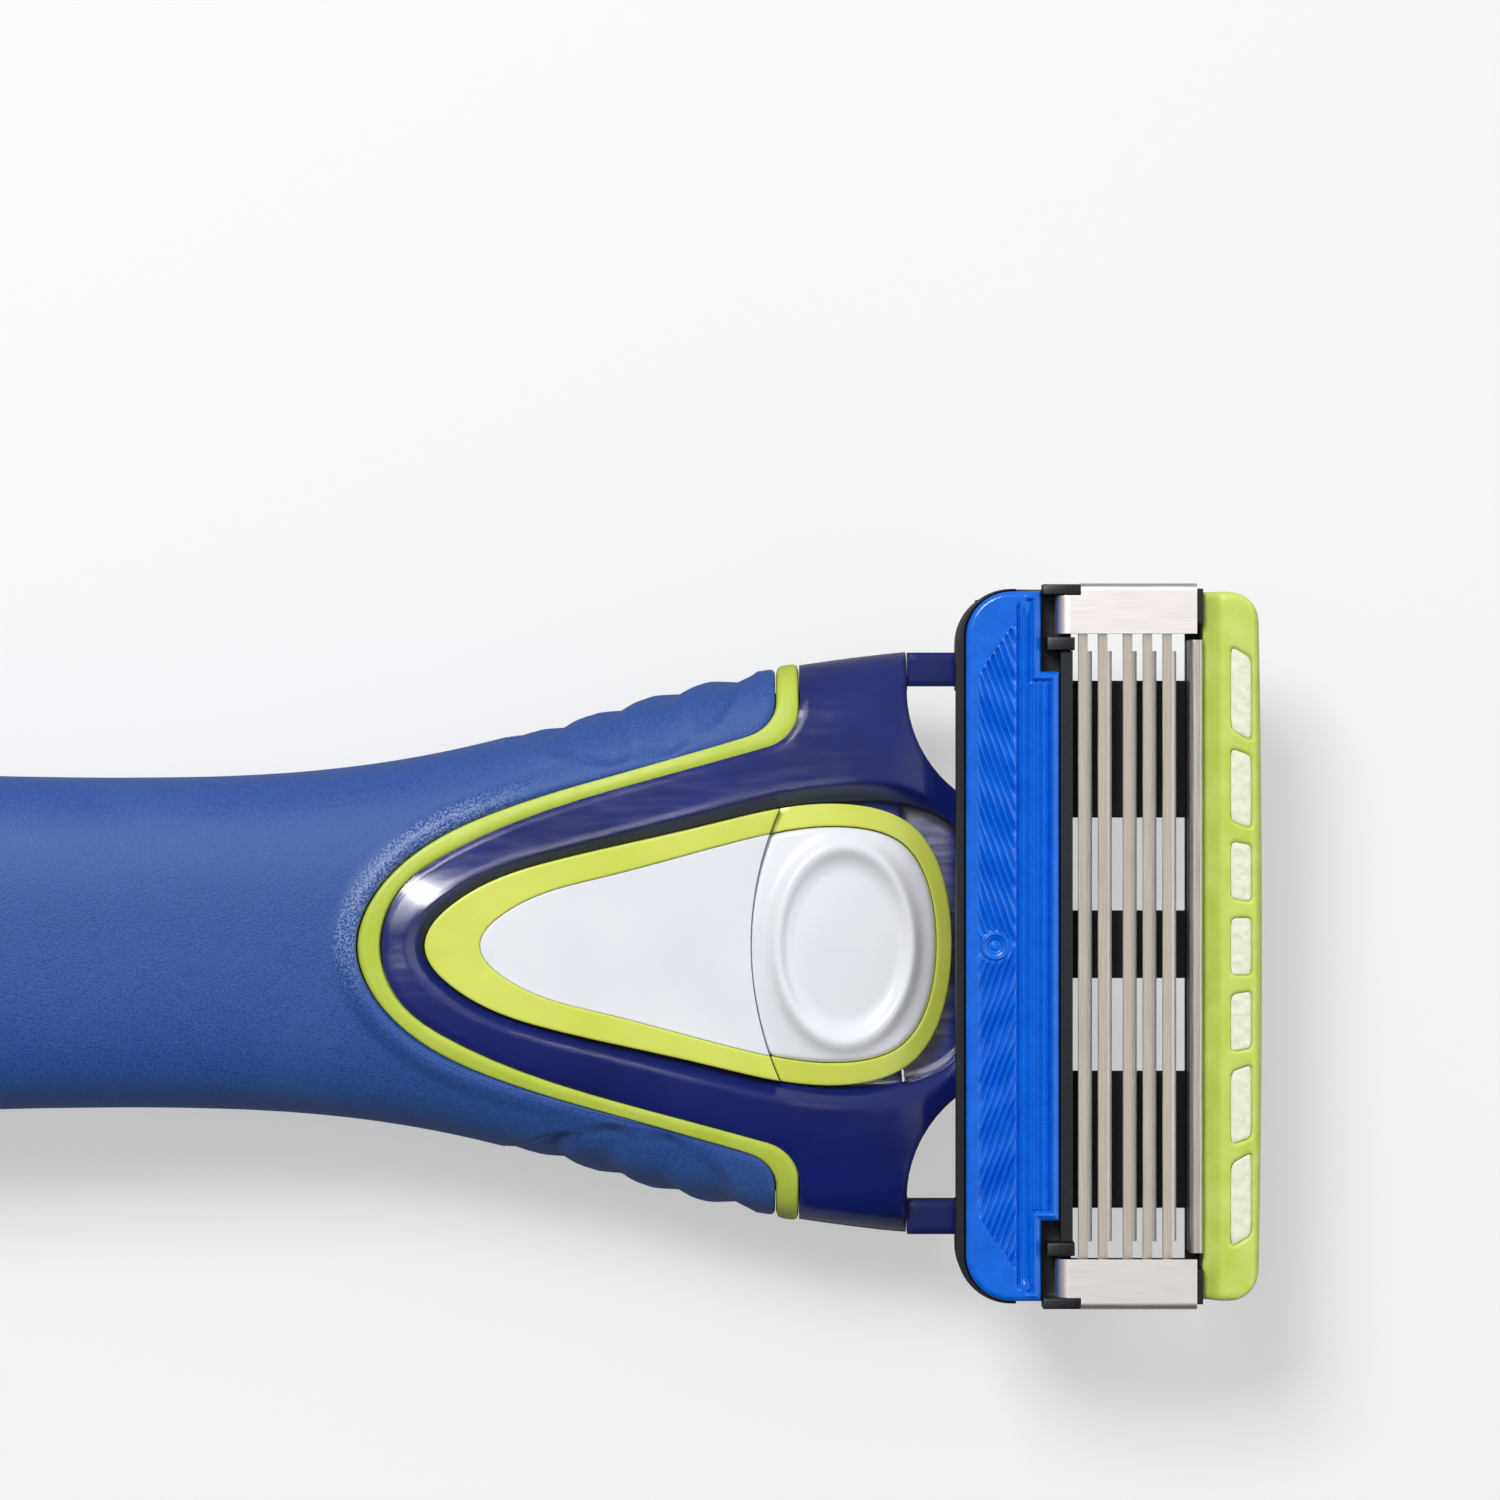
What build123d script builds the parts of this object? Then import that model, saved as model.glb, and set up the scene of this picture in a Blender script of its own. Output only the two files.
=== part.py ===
from build123d import *

import os
from math import atan2, copysign, cos, degrees, pi, radians, sin, tan

# Cartridge razor: a two-shell handle with a rubber grip, an eject button that draws
# in two pivot arms, and a pivoting five-blade cartridge. Millimetres, +Z up.
# The razor lies on its back: z = 0 is the resting plane, Y = 0 the mid-plane and
# +X points from the tail to the head. Left is +Y.

os.makedirs("parts", exist_ok=True)

# ---------------------------------------------------------------- driving dimensions
overall_length = 145.0
tail_end = -overall_length / 2
head_end = overall_length / 2
cartridge_length = 42.5
half_cartridge = cartridge_length / 2
split_z = 7.8
far = 30.0
fit_gap = 0.03
pin_gap = 0.07
slide_gap = 0.1
moving_gap = 0.2
stand = (Align.CENTER, Align.CENTER, Align.MIN)

# Handle sections: (x, half width, top, bottom). The two low spots touch the ground.
handle_stations = [
    (tail_end, 3.2, 7.6, 3.6),
    (-71.3, 5.9, 8.9, 2.0),
    (-68.0, 8.0, 10.4, 0.7),
    (-60.0, 9.4, 12.2, 0.0),
    (-52.0, 10.1, 13.2, -0.35),
    (-45.0, 10.5, 13.9, 0.1),
    (-28.0, 10.9, 14.8, 1.0),
    (-10.0, 10.2, 14.9, 1.0),
    (6.5, 9.85, 14.4, 0.7),
    (15.5, 10.2, 13.95, 0.1),
    (24.0, 11.4, 13.6, -0.35),
    (33.4, 13.9, 13.0, 0.5),
    (39.4, 15.6, 12.7, 1.6),
    (45.4, 16.6, 12.3, 2.6),
    (51.4, 17.35, 11.65, 3.3),
    (57.4, 17.6, 9.4, 3.8),
    (60.0, 17.7, 8.9, 4.0),
]
section_power = 2 / 3
section_steps = 8
even = (1, 1)
rubber_thickness = 1.5
shell_thickness = 1.6
core_stations = handle_stations[2:-2]
cavity_stations = handle_stations[3:10]

# Zones of the handle: rubber at the back, a thin trim band, glossy shell in front.
tail_cap_x = -61.2
tail_ring_x = -60.0
trim_rear_x = 43.9
trim_front_x = 45.35
flank_angle = 16.3
trim_flank = [(21.8, 4.8), (27.7, 8.06), (30.6, 9.03), (36.5, 10.7)]
shell_flank = [(21.8, 3.15), (24.8, 5.5), (30.6, 8.0), (36.5, 9.76)]
trim_tip_x = 19.3
shell_tip_x = 20.8

# Front of the handle in plan.
shoulder_x = 51.7
shoulder_y = 15.0
nose_x = 57.4
nose_y = 7.8
hollow_radius = 7.4

# Recess in the handle's top for the insert plate and the button. Outlines are
# half outlines on the tilted deck, with x measured from the seam between the two.
seam_x = 42.4
seam_radius = 19.7
deck_z = 10.7
deck_tilt = 3.5
recess_outline = [
    (-19.3, 0), (-17.6, 2.5), (-11.8, 5.0), (-2.9, 7.06), (5.6, 8.38), (9.6, 7.15), (12.1, 0),
]
inlay_outline = [
    (-16.0, 0), (-14.7, 1.8), (-8.8, 4.0), (-0.6, 6.17), (5.4, 7.0), (9.0, 6.0), (11.1, 0),
]
pocket_outline = [
    (-19.3, 0), (-17.6, 2.5), (-11.8, 5.0), (-2.9, 7.08), (2.0, 8.18),
    (5.6, 8.48), (7.9, 8.45), (11.9, 7.15), (14.4, 0),
]
dish_z = 11.21
dish_tilt = 4.7
dish_height = 3.0
dish_below = 0.4
dish_flare_x = 3.8
dish_flare_y = 3.0
insert_thickness = 1.45
plate_sink = 0.1
recess_gap = 0.08
nose_deck_x = 51.4
nose_deck_z = 9.05

# Eject button and its slider.
button_travel = 2.2
button_step_x = 51.8
button_floor_z = 9.25
button_float = 0.05
button_crown_radius = 50.0
button_crown_spread = 15
button_top = [
    (41.5, 12.1), (46.0, 12.05), (49.5, 11.75), (52.0, 10.95), (53.8, 10.1), (54.6, 9.6),
]
ring_x = 48.0
ring_outer = (4.6, 6.4)
ring_inner = (3.5, 5.25)
ring_lift = 0.35
slider_z = 8.9
slider_thickness = 0.7
slider_rear_x = 33.0
slider_wide_x = 43.6
slider_front_x = 48.6
slider_half_width = 10.6
slider_rail_y = 3.0
stem_front_x = 50.0
stem_rear_x = 46.0
stem_y = 4.0
tab_front_x = 34.7
tab_rear_x = 33.5
tab_y = 1.3
tab_floor_z = 5.2
mechanism_ceiling = 9.7
slider_pocket_y = 11.5
slider_pocket_x = 51.0
slider_clearance = 0.4
side_pocket_x = (31.0, 43.0)
side_pocket_y = (3.2, 10.0)
side_pocket_floor = 4.2
peg_spots = [(30.0, 7.0), (30.0, -7.0)]
peg_radius = 1.0
peg_height = 1.5
button_peg_y = 2.5
button_peg_radius = 0.6
button_peg_top = 11.3

# Pivot arms.
arm_travel = 1.2
cam_pin_x = 47.0
cam_pin_y = 9.0
cam_pin_radius = 0.7
cam_slot_width = 1.5
cam_pin_top = 9.55
arm_foot = (45.7, 48.3)
arm_foot_y = 7.6
arm_floor_z = 7.9
arm_foot_top = 8.8
arm_neck = (15.0, 15.9)
arm_neck_top = 9.4
arm_bar = (15.3, 17.3)
arm_bar_rear_x = shoulder_x + 0.06
arm_bar_top = 9.6
arm_end_x = 58.6
pivot_x = 57.5
pivot_z = 8.75
pivot_pin_radius = 0.8
pivot_pin_end = 18.4

# Sprung plunger that returns the cartridge.
plunger_z = 6.1
plunger_tip_x = 57.66
plunger_neck_x = 54.9
plunger_tip_radius = 1.0
plunger_collar_radius = 1.38
plunger_collar_rear_x = 53.2
plunger_stem_radius = 0.7
plunger_stem_rear_x = 49.5
bore_rear_x = 46.8
bore_front_x = 55.0
bore_half_width = 1.45
lever_slot_x = 55.7
lever_slot_y = 1.4
lever_slot_floor = 5.0
spring_channel = (33.2, 42.1)
spring_channel_half = 1.7
return_spring_z = 6.3
return_coil = (1.2, 0.175, 6)
plunger_coil = (1.1, 0.15, 6)
coil_end_gap = 0.05

# Cartridge.
frame_rear_x = 54.5
frame_floor_z = 10.6
bay_floor_z = 11.0
face_z = 14.0
frame_half = 20.95
frame_corner = 3.2
rear_wall_top = 13.6
rear_wall_front_x = 58.0
bar_rear_x = 60.6
bar_top = 13.9
bar_half = 17.3
base_front_x = 71.8
lug_x = (54.6, 59.6)
lug_y = (17.55, 20.4)
lug_radius = 1.7
lug_bore_end = 19.0
lever_arm = 2.6
lever_angle = 20.0
lever_tip_radius = 0.7
lever_half = 1.2
floor_openings = [(2.0, 7.5), (15.6, 18.6)]
chamfer_half = 15.0
chamfer = (56.6, 12.2)
inner_finger = ((59.8, 61.4), (17.35, 18.1), 14.2)
outer_finger = ((59.55, 61.7), (20.6, 21.2), 14.25)
bay = (61.3, 68.95)
bay_half = 18.9
guard_floor_z = 12.4
guard = (55.0, 60.5)
guard_notch = (59.45, 16.1)
guard_top_z = 14.1
guard_corner = 2.7
guard_rim = 0.4
guard_seat_gap = 0.05
blade_edges = [61.6, 62.76, 64.22, 65.38, 66.54]
blade_tilt = 21.0
blade_width = 0.62
blade_thickness = 0.1
blade_length = 37.4
blade_edge_z = 13.95
blade_bevel = 0.3
shelf_offset = (0.24, -0.38)
shelf_run = 0.3
bend_radius = 0.3
support_thickness = 0.15
support_length = 34.6
support_leg_z = 11.4
rail = (68.15, 68.93)
rail_half = 17.95
rail_z = (12.2, 14.1)
rail_corner = 0.3
clip_sheet = 0.25
clip = (60.3, 68.55)
clip_inner_y = 18.3
clip_top_z = 14.3
clip_bottom_z = 10.3
clip_rear_edge_z = 13.3
clip_roll = 0.8
clip_edge = 0.4
clip_corner = 0.5
clip_fit = 0.05
cap_rear_x = 68.97
cap_half = 20.77
cap_profile = [
    (cap_rear_x, 11.0), (cap_rear_x, 13.3), (69.35, 14.0), (69.6, 14.2),
    (71.9, 14.1), (head_end, 13.2), (head_end, 11.8), (71.9, 11.0),
]
cap_bow = 0.3
cap_corner = 1.8
strip_channel = (70.2, 72.0)
strip_half = 18.9
strip_z = (11.65, 13.2)
pad_top_z = 14.08
window = (70.5, 71.8)
window_corner = 0.4
windows = [(-1.73, 1.73), (2.65, 6.1), (7.05, 11.45), (12.3, 17.3)]


# ---------------------------------------------------------------- shared helpers
def box_between(low, high, mode=Mode.ADD):
    """Box given by two opposite corners, joined to the part being built."""
    middle = tuple((a + b) / 2 for a, b in zip(low, high))
    size = tuple(b - a for a, b in zip(low, high))
    with Locations(middle):
        Box(*size, mode=mode)


def mirrored_box(x_range, y_range, z_range, mode=Mode.ADD):
    """The same box on both sides of the mid-plane."""
    for side in (1, -1):
        near, end = sorted(side * y for y in y_range)
        box_between((x_range[0], near, z_range[0]), (x_range[1], end, z_range[1]), mode)


def flattened(value):
    """Cosine or sine drawn towards one, which makes an ellipse fuller."""
    return copysign(abs(round(value, 9)) ** section_power, value)


def section_half(half_width, middle, height):
    """Points over half a section, from +Y to -Y; a negative height gives the lower half."""
    angles = [pi * step / section_steps for step in range(section_steps + 1)]
    across = [half_width * flattened(cos(angle)) for angle in angles]
    upright = [middle + height * flattened(sin(angle)) for angle in angles]
    return list(zip(across, upright))


def handle_form(stations, inset):
    """Handle-shaped solid lofted through its sections, each drawn in by inset."""
    with BuildPart() as form:
        for x, half_width, top, bottom in stations:
            middle = (top + bottom) / 2
            height = (top - bottom) / 2 - inset
            with BuildSketch(Plane.YZ.offset(x)):
                with BuildLine():
                    upper = section_half(half_width - inset, middle, height)
                    lower = section_half(half_width - inset, middle, -height)
                    Spline(*upper, tangents=[(0, 1), (0, -1)], tangent_scalars=even)
                    Spline(*lower, tangents=[(0, -1), (0, 1)], tangent_scalars=even)
                make_face()
        loft()
    return form.part


def front_zone(tip_x, flank, end_y, side_x, corner_radius):
    """Everything in front of a V on the top and of a straight line underneath."""
    slope = radians(flank_angle)
    corner_x = side_x - corner_radius * (1 - sin(slope))
    with BuildPart() as zone:
        with BuildSketch(Plane.XY.offset(split_z)):
            with BuildLine():
                run_out = (cos(slope), sin(slope))
                points = [(tip_x, 0), *flank, (corner_x, end_y)]
                edge = Spline(*points, tangents=[(0, 1), run_out], tangent_scalars=even)
                corner = JernArc(edge @ 1, edge % 1, corner_radius, 90 - flank_angle)
                Polyline(corner @ 1, (side_x, far), (head_end, far), (head_end, 0), (tip_x, 0))
            make_face()
            mirror(about=Plane.XZ)
        extrude(amount=far)
        box_between((side_x, -far, -far), (head_end, far, split_z))
    return zone.part


def deck_point(x):
    """Height of the tilted deck at x."""
    return deck_z - (x - seam_x) * tan(radians(deck_tilt))


def tilted_plane(z, tilt):
    """Plane through the seam at height z, falling towards the head by tilt degrees."""
    angle = radians(tilt)
    along = (cos(angle), 0, -sin(angle))
    normal = (sin(angle), 0, cos(angle))
    return Plane(origin=(seam_x, 0, z), x_dir=along, z_dir=normal)


deck_plane = tilted_plane(deck_z, deck_tilt)
dish_plane = tilted_plane(dish_z, dish_tilt)


def leaf(outline, grow_x=0.0, grow_y=0.0):
    """Face with a smooth symmetric outline, grown about its middle."""
    start, end = outline[0][0], outline[-1][0]
    centre = (start + end) / 2
    scale_x = 1 + 2 * grow_x / (end - start)
    scale_y = 1 + grow_y / max(y for _, y in outline)
    points = [(centre + (x - centre) * scale_x, y * scale_y) for x, y in outline]
    with BuildSketch() as shape:
        with BuildLine():
            Spline(*points, tangents=[(0, 1), (0, -1)], tangent_scalars=even)
            Line(points[-1], points[0])
        make_face()
        mirror(about=Plane.XZ)
    return shape.sketch


def leaf_prism(outline, grow=0.0, seam_side=None):
    """Upright block over an outline; seam_side keeps the insert's or the button's part."""
    shape = leaf(outline, grow, grow)
    with BuildPart() as prism:
        with BuildSketch(deck_plane):
            add(shape)
            if seam_side == "insert":
                with Locations((seam_radius, 0)):
                    Circle(seam_radius + recess_gap / 2, mode=Mode.SUBTRACT)
            if seam_side == "button":
                with Locations((seam_radius, 0)):
                    Circle(seam_radius - recess_gap / 2, mode=Mode.INTERSECT)
        extrude(amount=far, both=True)
    return prism.part


def side_profile(points, half_width):
    """Block with a straight-edged profile seen from the side."""
    with BuildPart() as block:
        with BuildSketch(Plane.XZ):
            with BuildLine():
                Polyline(*points, close=True)
            make_face()
        extrude(amount=half_width, both=True)
    return block.part


def coil_spring(start, end, z, coil_radius, wire_radius, turns):
    """Compression spring along X."""
    with BuildPart() as spring:
        length = end - start - 2 * wire_radius
        first = (start + wire_radius, 0, z)
        with BuildLine() as coil:
            Helix(length / turns, length, coil_radius, center=first, direction=(1, 0, 0))
        with BuildSketch(Plane(origin=coil.line @ 0, z_dir=coil.line % 0)):
            Circle(wire_radius)
        sweep()
    return spring.part


def save(name, label):
    """Label a finished piece and write it."""
    name.part.label = label
    export_step(name.part, f"parts/{label}.step")


# ---------------------------------------------------------------- handle volumes
outer_form = handle_form(handle_stations, 0)
bed_form = handle_form(core_stations, rubber_thickness)
core_form = handle_form(core_stations, rubber_thickness + fit_gap)
cavity_form = handle_form(cavity_stations, rubber_thickness + shell_thickness)
trim_zone = front_zone(trim_tip_x, trim_flank, 12.38, trim_rear_x, 2.4)
shell_zone = front_zone(shell_tip_x, shell_flank, 11.7, trim_front_x, 2.6)

with BuildPart() as skin:
    add(outer_form)
    add(bed_form, mode=Mode.SUBTRACT)
    split(bisect_by=Plane.XY, keep=Keep.TOP)

with BuildPart() as shell_blank:
    add(outer_form)
    add(shell_zone, mode=Mode.INTERSECT)
    add(core_form)
    with BuildSketch(Plane.XY):
        with BuildLine():
            shoulder = (shoulder_x, shoulder_y)
            Polyline((nose_x, 0), (tail_end, 0), (tail_end, far), (shoulder_x, far), shoulder)
            RadiusArc(shoulder, (nose_x, nose_y), -hollow_radius)
            Line((nose_x, nose_y), (nose_x, 0))
        make_face()
        mirror(about=Plane.XZ)
    extrude(amount=far, mode=Mode.INTERSECT)
    add(cavity_form, mode=Mode.SUBTRACT)

# ---------------------------------------------------------------- grip and trims
with BuildPart() as grip:
    add(skin.part)
    add(trim_zone, mode=Mode.SUBTRACT)
    split(bisect_by=Plane.YZ.offset(tail_ring_x), keep=Keep.TOP)
save(grip, "grip")

with BuildPart() as accent_trim:
    add(skin.part)
    add(trim_zone, mode=Mode.INTERSECT)
    add(shell_zone, mode=Mode.SUBTRACT)
save(accent_trim, "accent_trim")

with BuildPart() as tail_ring:
    add(skin.part)
    split(bisect_by=Plane.YZ.offset(tail_ring_x), keep=Keep.BOTTOM)
    split(bisect_by=Plane.YZ.offset(tail_cap_x), keep=Keep.TOP)
save(tail_ring, "tail_ring")

with BuildPart() as tail_cap:
    add(skin.part)
    split(bisect_by=Plane.YZ.offset(tail_cap_x), keep=Keep.BOTTOM)
save(tail_cap, "tail_cap")

# ---------------------------------------------------------------- housings
inward = -dish_below / dish_height
dish_floor = leaf(pocket_outline, inward * dish_flare_x, inward * dish_flare_y)
dish_mouth = leaf(pocket_outline, dish_flare_x, dish_flare_y)
with BuildPart() as dish:
    with BuildSketch(dish_plane.offset(-dish_below)):
        add(dish_floor)
    with BuildSketch(dish_plane.offset(dish_height)):
        add(dish_mouth)
    loft()

deck_rear_x = tail_end / 2
deck_profile = [
    (deck_rear_x, deck_point(deck_rear_x)), (nose_deck_x, deck_point(nose_deck_x)),
    (nose_deck_x, nose_deck_z), (head_end, nose_deck_z), (head_end, far), (deck_rear_x, far),
]
recess_space = side_profile(deck_profile, far)

with BuildPart() as recess:
    add(leaf_prism(pocket_outline))
    add(recess_space, mode=Mode.INTERSECT)

with BuildPart() as upper_housing:
    add(shell_blank.part)
    split(bisect_by=Plane.XY.offset(split_z), keep=Keep.TOP)
    add(dish.part, mode=Mode.SUBTRACT)
    add(recess.part, mode=Mode.SUBTRACT)
    # Room for the slider plate and its tail.
    box_between((slider_wide_x - slider_clearance, -slider_pocket_y, split_z),
                (slider_pocket_x, slider_pocket_y, mechanism_ceiling), Mode.SUBTRACT)
    rail_room = slider_rail_y + slider_clearance
    box_between((slider_rear_x - slider_clearance, -rail_room, split_z),
                (slider_wide_x, rail_room, mechanism_ceiling), Mode.SUBTRACT)
    # Opening for the button's stem.
    stem_room = stem_y + moving_gap
    box_between((stem_rear_x - moving_gap, -stem_room, split_z),
                (stem_front_x + button_travel + moving_gap, stem_room, far), Mode.SUBTRACT)
    # Windows for the arms' feet and channels for their necks.
    mirrored_box((arm_foot[0] - moving_gap, arm_foot[1] + moving_gap), (slider_pocket_y - 1, shoulder_y),
                 (split_z, arm_foot_top + slide_gap), Mode.SUBTRACT)
    mirrored_box((arm_foot[0] - moving_gap, head_end),
                 (arm_neck[0] - arm_travel - slide_gap, arm_neck[1] + slide_gap),
                 (split_z, arm_neck_top + slide_gap), Mode.SUBTRACT)
    # Slot for the cartridge's lever.
    box_between((lever_slot_x, -lever_slot_y, split_z), (head_end, lever_slot_y, far), Mode.SUBTRACT)
    for x, y in peg_spots:
        with Locations((x, y, split_z)):
            Cylinder(peg_radius + fit_gap, peg_height + slide_gap, align=stand, mode=Mode.SUBTRACT)
save(upper_housing, "upper_housing")


def trough(start, end, half_width, z):
    """Room along X with a round bottom, open at the joint line."""
    with BuildPart() as room:
        with BuildSketch(Plane.YZ.offset(start)):
            with Locations((0, z)):
                Circle(half_width)
            with Locations((0, (z + split_z) / 2)):
                Rectangle(2 * half_width, split_z - z)
        extrude(amount=end - start)
    return room.part


spring_room = trough(*spring_channel, spring_channel_half, return_spring_z)
plunger_room = trough(bore_rear_x, bore_front_x, bore_half_width, plunger_z)
plunger_neck_room = trough(bore_front_x, head_end, plunger_tip_radius + pin_gap, plunger_z)

with BuildPart() as lower_housing:
    add(shell_blank.part)
    split(bisect_by=Plane.XY.offset(split_z), keep=Keep.BOTTOM)
    split(bisect_by=Plane.XY, keep=Keep.TOP)
    add([spring_room, plunger_room, plunger_neck_room], mode=Mode.SUBTRACT)
    box_between((lever_slot_x, -lever_slot_y, lever_slot_floor), (head_end, lever_slot_y, split_z),
                Mode.SUBTRACT)
    # Weight-saving pockets beside the spring channel.
    mirrored_box(side_pocket_x, side_pocket_y, (side_pocket_floor, split_z), Mode.SUBTRACT)
    for x, y in peg_spots:
        with Locations((x, y, split_z)):
            Cylinder(peg_radius, peg_height, align=stand)
save(lower_housing, "lower_housing")

# ---------------------------------------------------------------- insert
with BuildPart() as insert_bezel:
    add(leaf_prism(recess_outline, -recess_gap, "insert"))
    add(leaf_prism(inlay_outline), mode=Mode.SUBTRACT)
    split(bisect_by=deck_plane, keep=Keep.TOP)
    split(bisect_by=deck_plane.offset(insert_thickness), keep=Keep.BOTTOM)
save(insert_bezel, "insert_bezel")

with BuildPart() as insert_plate:
    add(leaf_prism(inlay_outline, -fit_gap, "insert"))
    split(bisect_by=deck_plane, keep=Keep.TOP)
    split(bisect_by=deck_plane.offset(insert_thickness - plate_sink), keep=Keep.BOTTOM)
save(insert_plate, "insert_plate")


# ---------------------------------------------------------------- button
def crown(lift):
    """Space under the button's crowned top, raised by lift."""
    with BuildPart() as space:
        with BuildSketch(Plane.XZ):
            with BuildLine():
                top = Spline(*[(x, z + lift) for x, z in button_top])
                Polyline(top @ 1, (button_top[-1][0], 0), (button_top[0][0], 0), top @ 0)
            make_face()
        roll_axis = Axis((0, 0, button_top[0][1] - button_crown_radius), (1, 0, 0))
        revolve(axis=roll_axis, revolution_arc=2 * button_crown_spread)
    return space.part.rotate(roll_axis, -button_crown_spread)


def over_deck(x):
    """Point just above the deck, where the sliding button starts."""
    return (x, deck_point(x) + button_float)


button_rear_x = seam_x - 1
button_profile = [
    over_deck(button_rear_x), over_deck(button_step_x), (button_step_x, button_floor_z),
    (head_end, button_floor_z), (head_end, far), (button_rear_x, far),
]
button_floor = side_profile(button_profile, far)
button_crown = crown(0)
ring_crown = crown(ring_lift)

with BuildPart() as button_bezel:
    add(leaf_prism(recess_outline, -recess_gap, "button"))
    add(leaf_prism(inlay_outline), mode=Mode.SUBTRACT)
    add(button_floor, mode=Mode.INTERSECT)
    add(button_crown, mode=Mode.INTERSECT)
save(button_bezel, "button_bezel")

with BuildPart() as button_ring:
    with BuildSketch(Plane.XY):
        with Locations((ring_x, 0)):
            Ellipse(*ring_outer)
            Ellipse(*ring_inner, mode=Mode.SUBTRACT)
    extrude(amount=far)
    add(button_floor, mode=Mode.INTERSECT)
    add(ring_crown, mode=Mode.INTERSECT)

with BuildPart() as button_cap:
    add(leaf_prism(inlay_outline, -fit_gap, "button"))
    add(button_floor, mode=Mode.INTERSECT)
    add(button_crown, mode=Mode.INTERSECT)
    add(button_ring.part)
    for y in (button_peg_y, -button_peg_y):
        with Locations((ring_x, y, slider_z)):
            socket_height = button_peg_top - slider_z + fit_gap
            Cylinder(button_peg_radius + fit_gap, socket_height, align=stand, mode=Mode.SUBTRACT)
save(button_cap, "button_cap")

with BuildPart() as button_slider:
    plate_top = slider_z + slider_thickness
    box_between((slider_wide_x, -slider_half_width, slider_z),
                (slider_front_x, slider_half_width, plate_top))
    box_between((slider_rear_x, -slider_rail_y, slider_z), (slider_wide_x, slider_rail_y, plate_top))
    box_between((tab_rear_x, -tab_y, tab_floor_z), (tab_front_x, tab_y, slider_z))
    box_between((stem_rear_x, -stem_y, slider_z), (stem_front_x, stem_y, far))
    split(bisect_by=deck_plane.offset(fit_gap), keep=Keep.BOTTOM)
    for y in (button_peg_y, -button_peg_y):
        with Locations((ring_x, y, slider_z)):
            Cylinder(button_peg_radius, button_peg_top - slider_z, align=stand)
    # Slanted slots that draw the arms' cam pins inwards as the slider moves forward.
    with BuildSketch(Plane.XY.offset(slider_z)):
        run = (button_travel**2 + arm_travel**2) ** 0.5
        slant = degrees(atan2(arm_travel, button_travel))
        for side in (1, -1):
            with Locations((cam_pin_x - button_travel / 2, side * (cam_pin_y - arm_travel / 2))):
                SlotCenterToCenter(run, cam_slot_width, rotation=side * slant)
    extrude(amount=slider_thickness, mode=Mode.SUBTRACT)
save(button_slider, "button_slider")

return_span = (tab_front_x + coil_end_gap, spring_channel[1] - coil_end_gap)
return_spring = coil_spring(*return_span, return_spring_z, *return_coil)
return_spring.label = "button_return_spring"
export_step(return_spring, "parts/button_return_spring.step")


# ---------------------------------------------------------------- pivot arms
def pivot_arm(side):
    """Arm with its cam pin inside the handle and its pivot pin pointing outwards."""
    with BuildPart() as arm:
        spans = [
            (arm_foot, (arm_foot_y, arm_neck[1]), arm_foot_top),
            ((arm_foot[0], arm_bar_rear_x), arm_neck, arm_neck_top),
            ((arm_bar_rear_x, arm_end_x), arm_bar, arm_bar_top),
        ]
        for x_range, y_range, top in spans:
            near, end = sorted(side * y for y in y_range)
            box_between((x_range[0], near, arm_floor_z), (x_range[1], end, top))
        with Locations((cam_pin_x, side * cam_pin_y, arm_floor_z)):
            Cylinder(cam_pin_radius, cam_pin_top - arm_floor_z, align=stand)
        with BuildSketch(Plane.XZ.offset(-side * arm_bar[0])):
            with Locations((pivot_x, pivot_z)):
                Circle(pivot_pin_radius)
        extrude(amount=-side * (pivot_pin_end - arm_bar[0]))
    return arm


arm_left = pivot_arm(1)
save(arm_left, "arm_left")
arm_right = pivot_arm(-1)
save(arm_right, "arm_right")

# ---------------------------------------------------------------- plunger
with BuildPart() as plunger:
    with BuildSketch(Plane.YZ.offset(plunger_stem_rear_x)):
        with Locations((0, plunger_z)):
            Circle(plunger_stem_radius)
    extrude(amount=plunger_collar_rear_x - plunger_stem_rear_x)
    with BuildSketch(Plane.YZ.offset(plunger_collar_rear_x)):
        with Locations((0, plunger_z)):
            Circle(plunger_collar_radius)
    extrude(amount=plunger_neck_x - plunger_collar_rear_x)
    with BuildSketch(Plane.YZ.offset(plunger_neck_x)):
        with Locations((0, plunger_z)):
            Circle(plunger_tip_radius)
    extrude(amount=plunger_tip_x - plunger_neck_x)
save(plunger, "plunger")

plunger_span = (bore_rear_x + coil_end_gap, plunger_collar_rear_x - coil_end_gap)
plunger_spring = coil_spring(*plunger_span, plunger_z, *plunger_coil)
plunger_spring.label = "plunger_spring"
export_step(plunger_spring, "parts/plunger_spring.step")

# ---------------------------------------------------------------- cartridge frame
def end_block(side, grow):
    """Block under a clip with its upper rear edge cut off, grown by grow on every side but the far end."""
    rear = bar_rear_x - grow
    top = face_z + grow
    floor = frame_floor_z - grow
    cut = [(rear, top - clip_corner), (rear + clip_corner, top)]
    outline = [(rear, floor), *cut, (rail[1], top), (rail[1], floor)]
    with BuildPart() as block:
        with BuildSketch(Plane.XZ.offset(-side * (bay_half - grow))):
            with BuildLine():
                Polyline(*outline, close=True)
            make_face()
        extrude(amount=-side * (frame_half - bay_half + 2 * grow))
    return block.part


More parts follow.
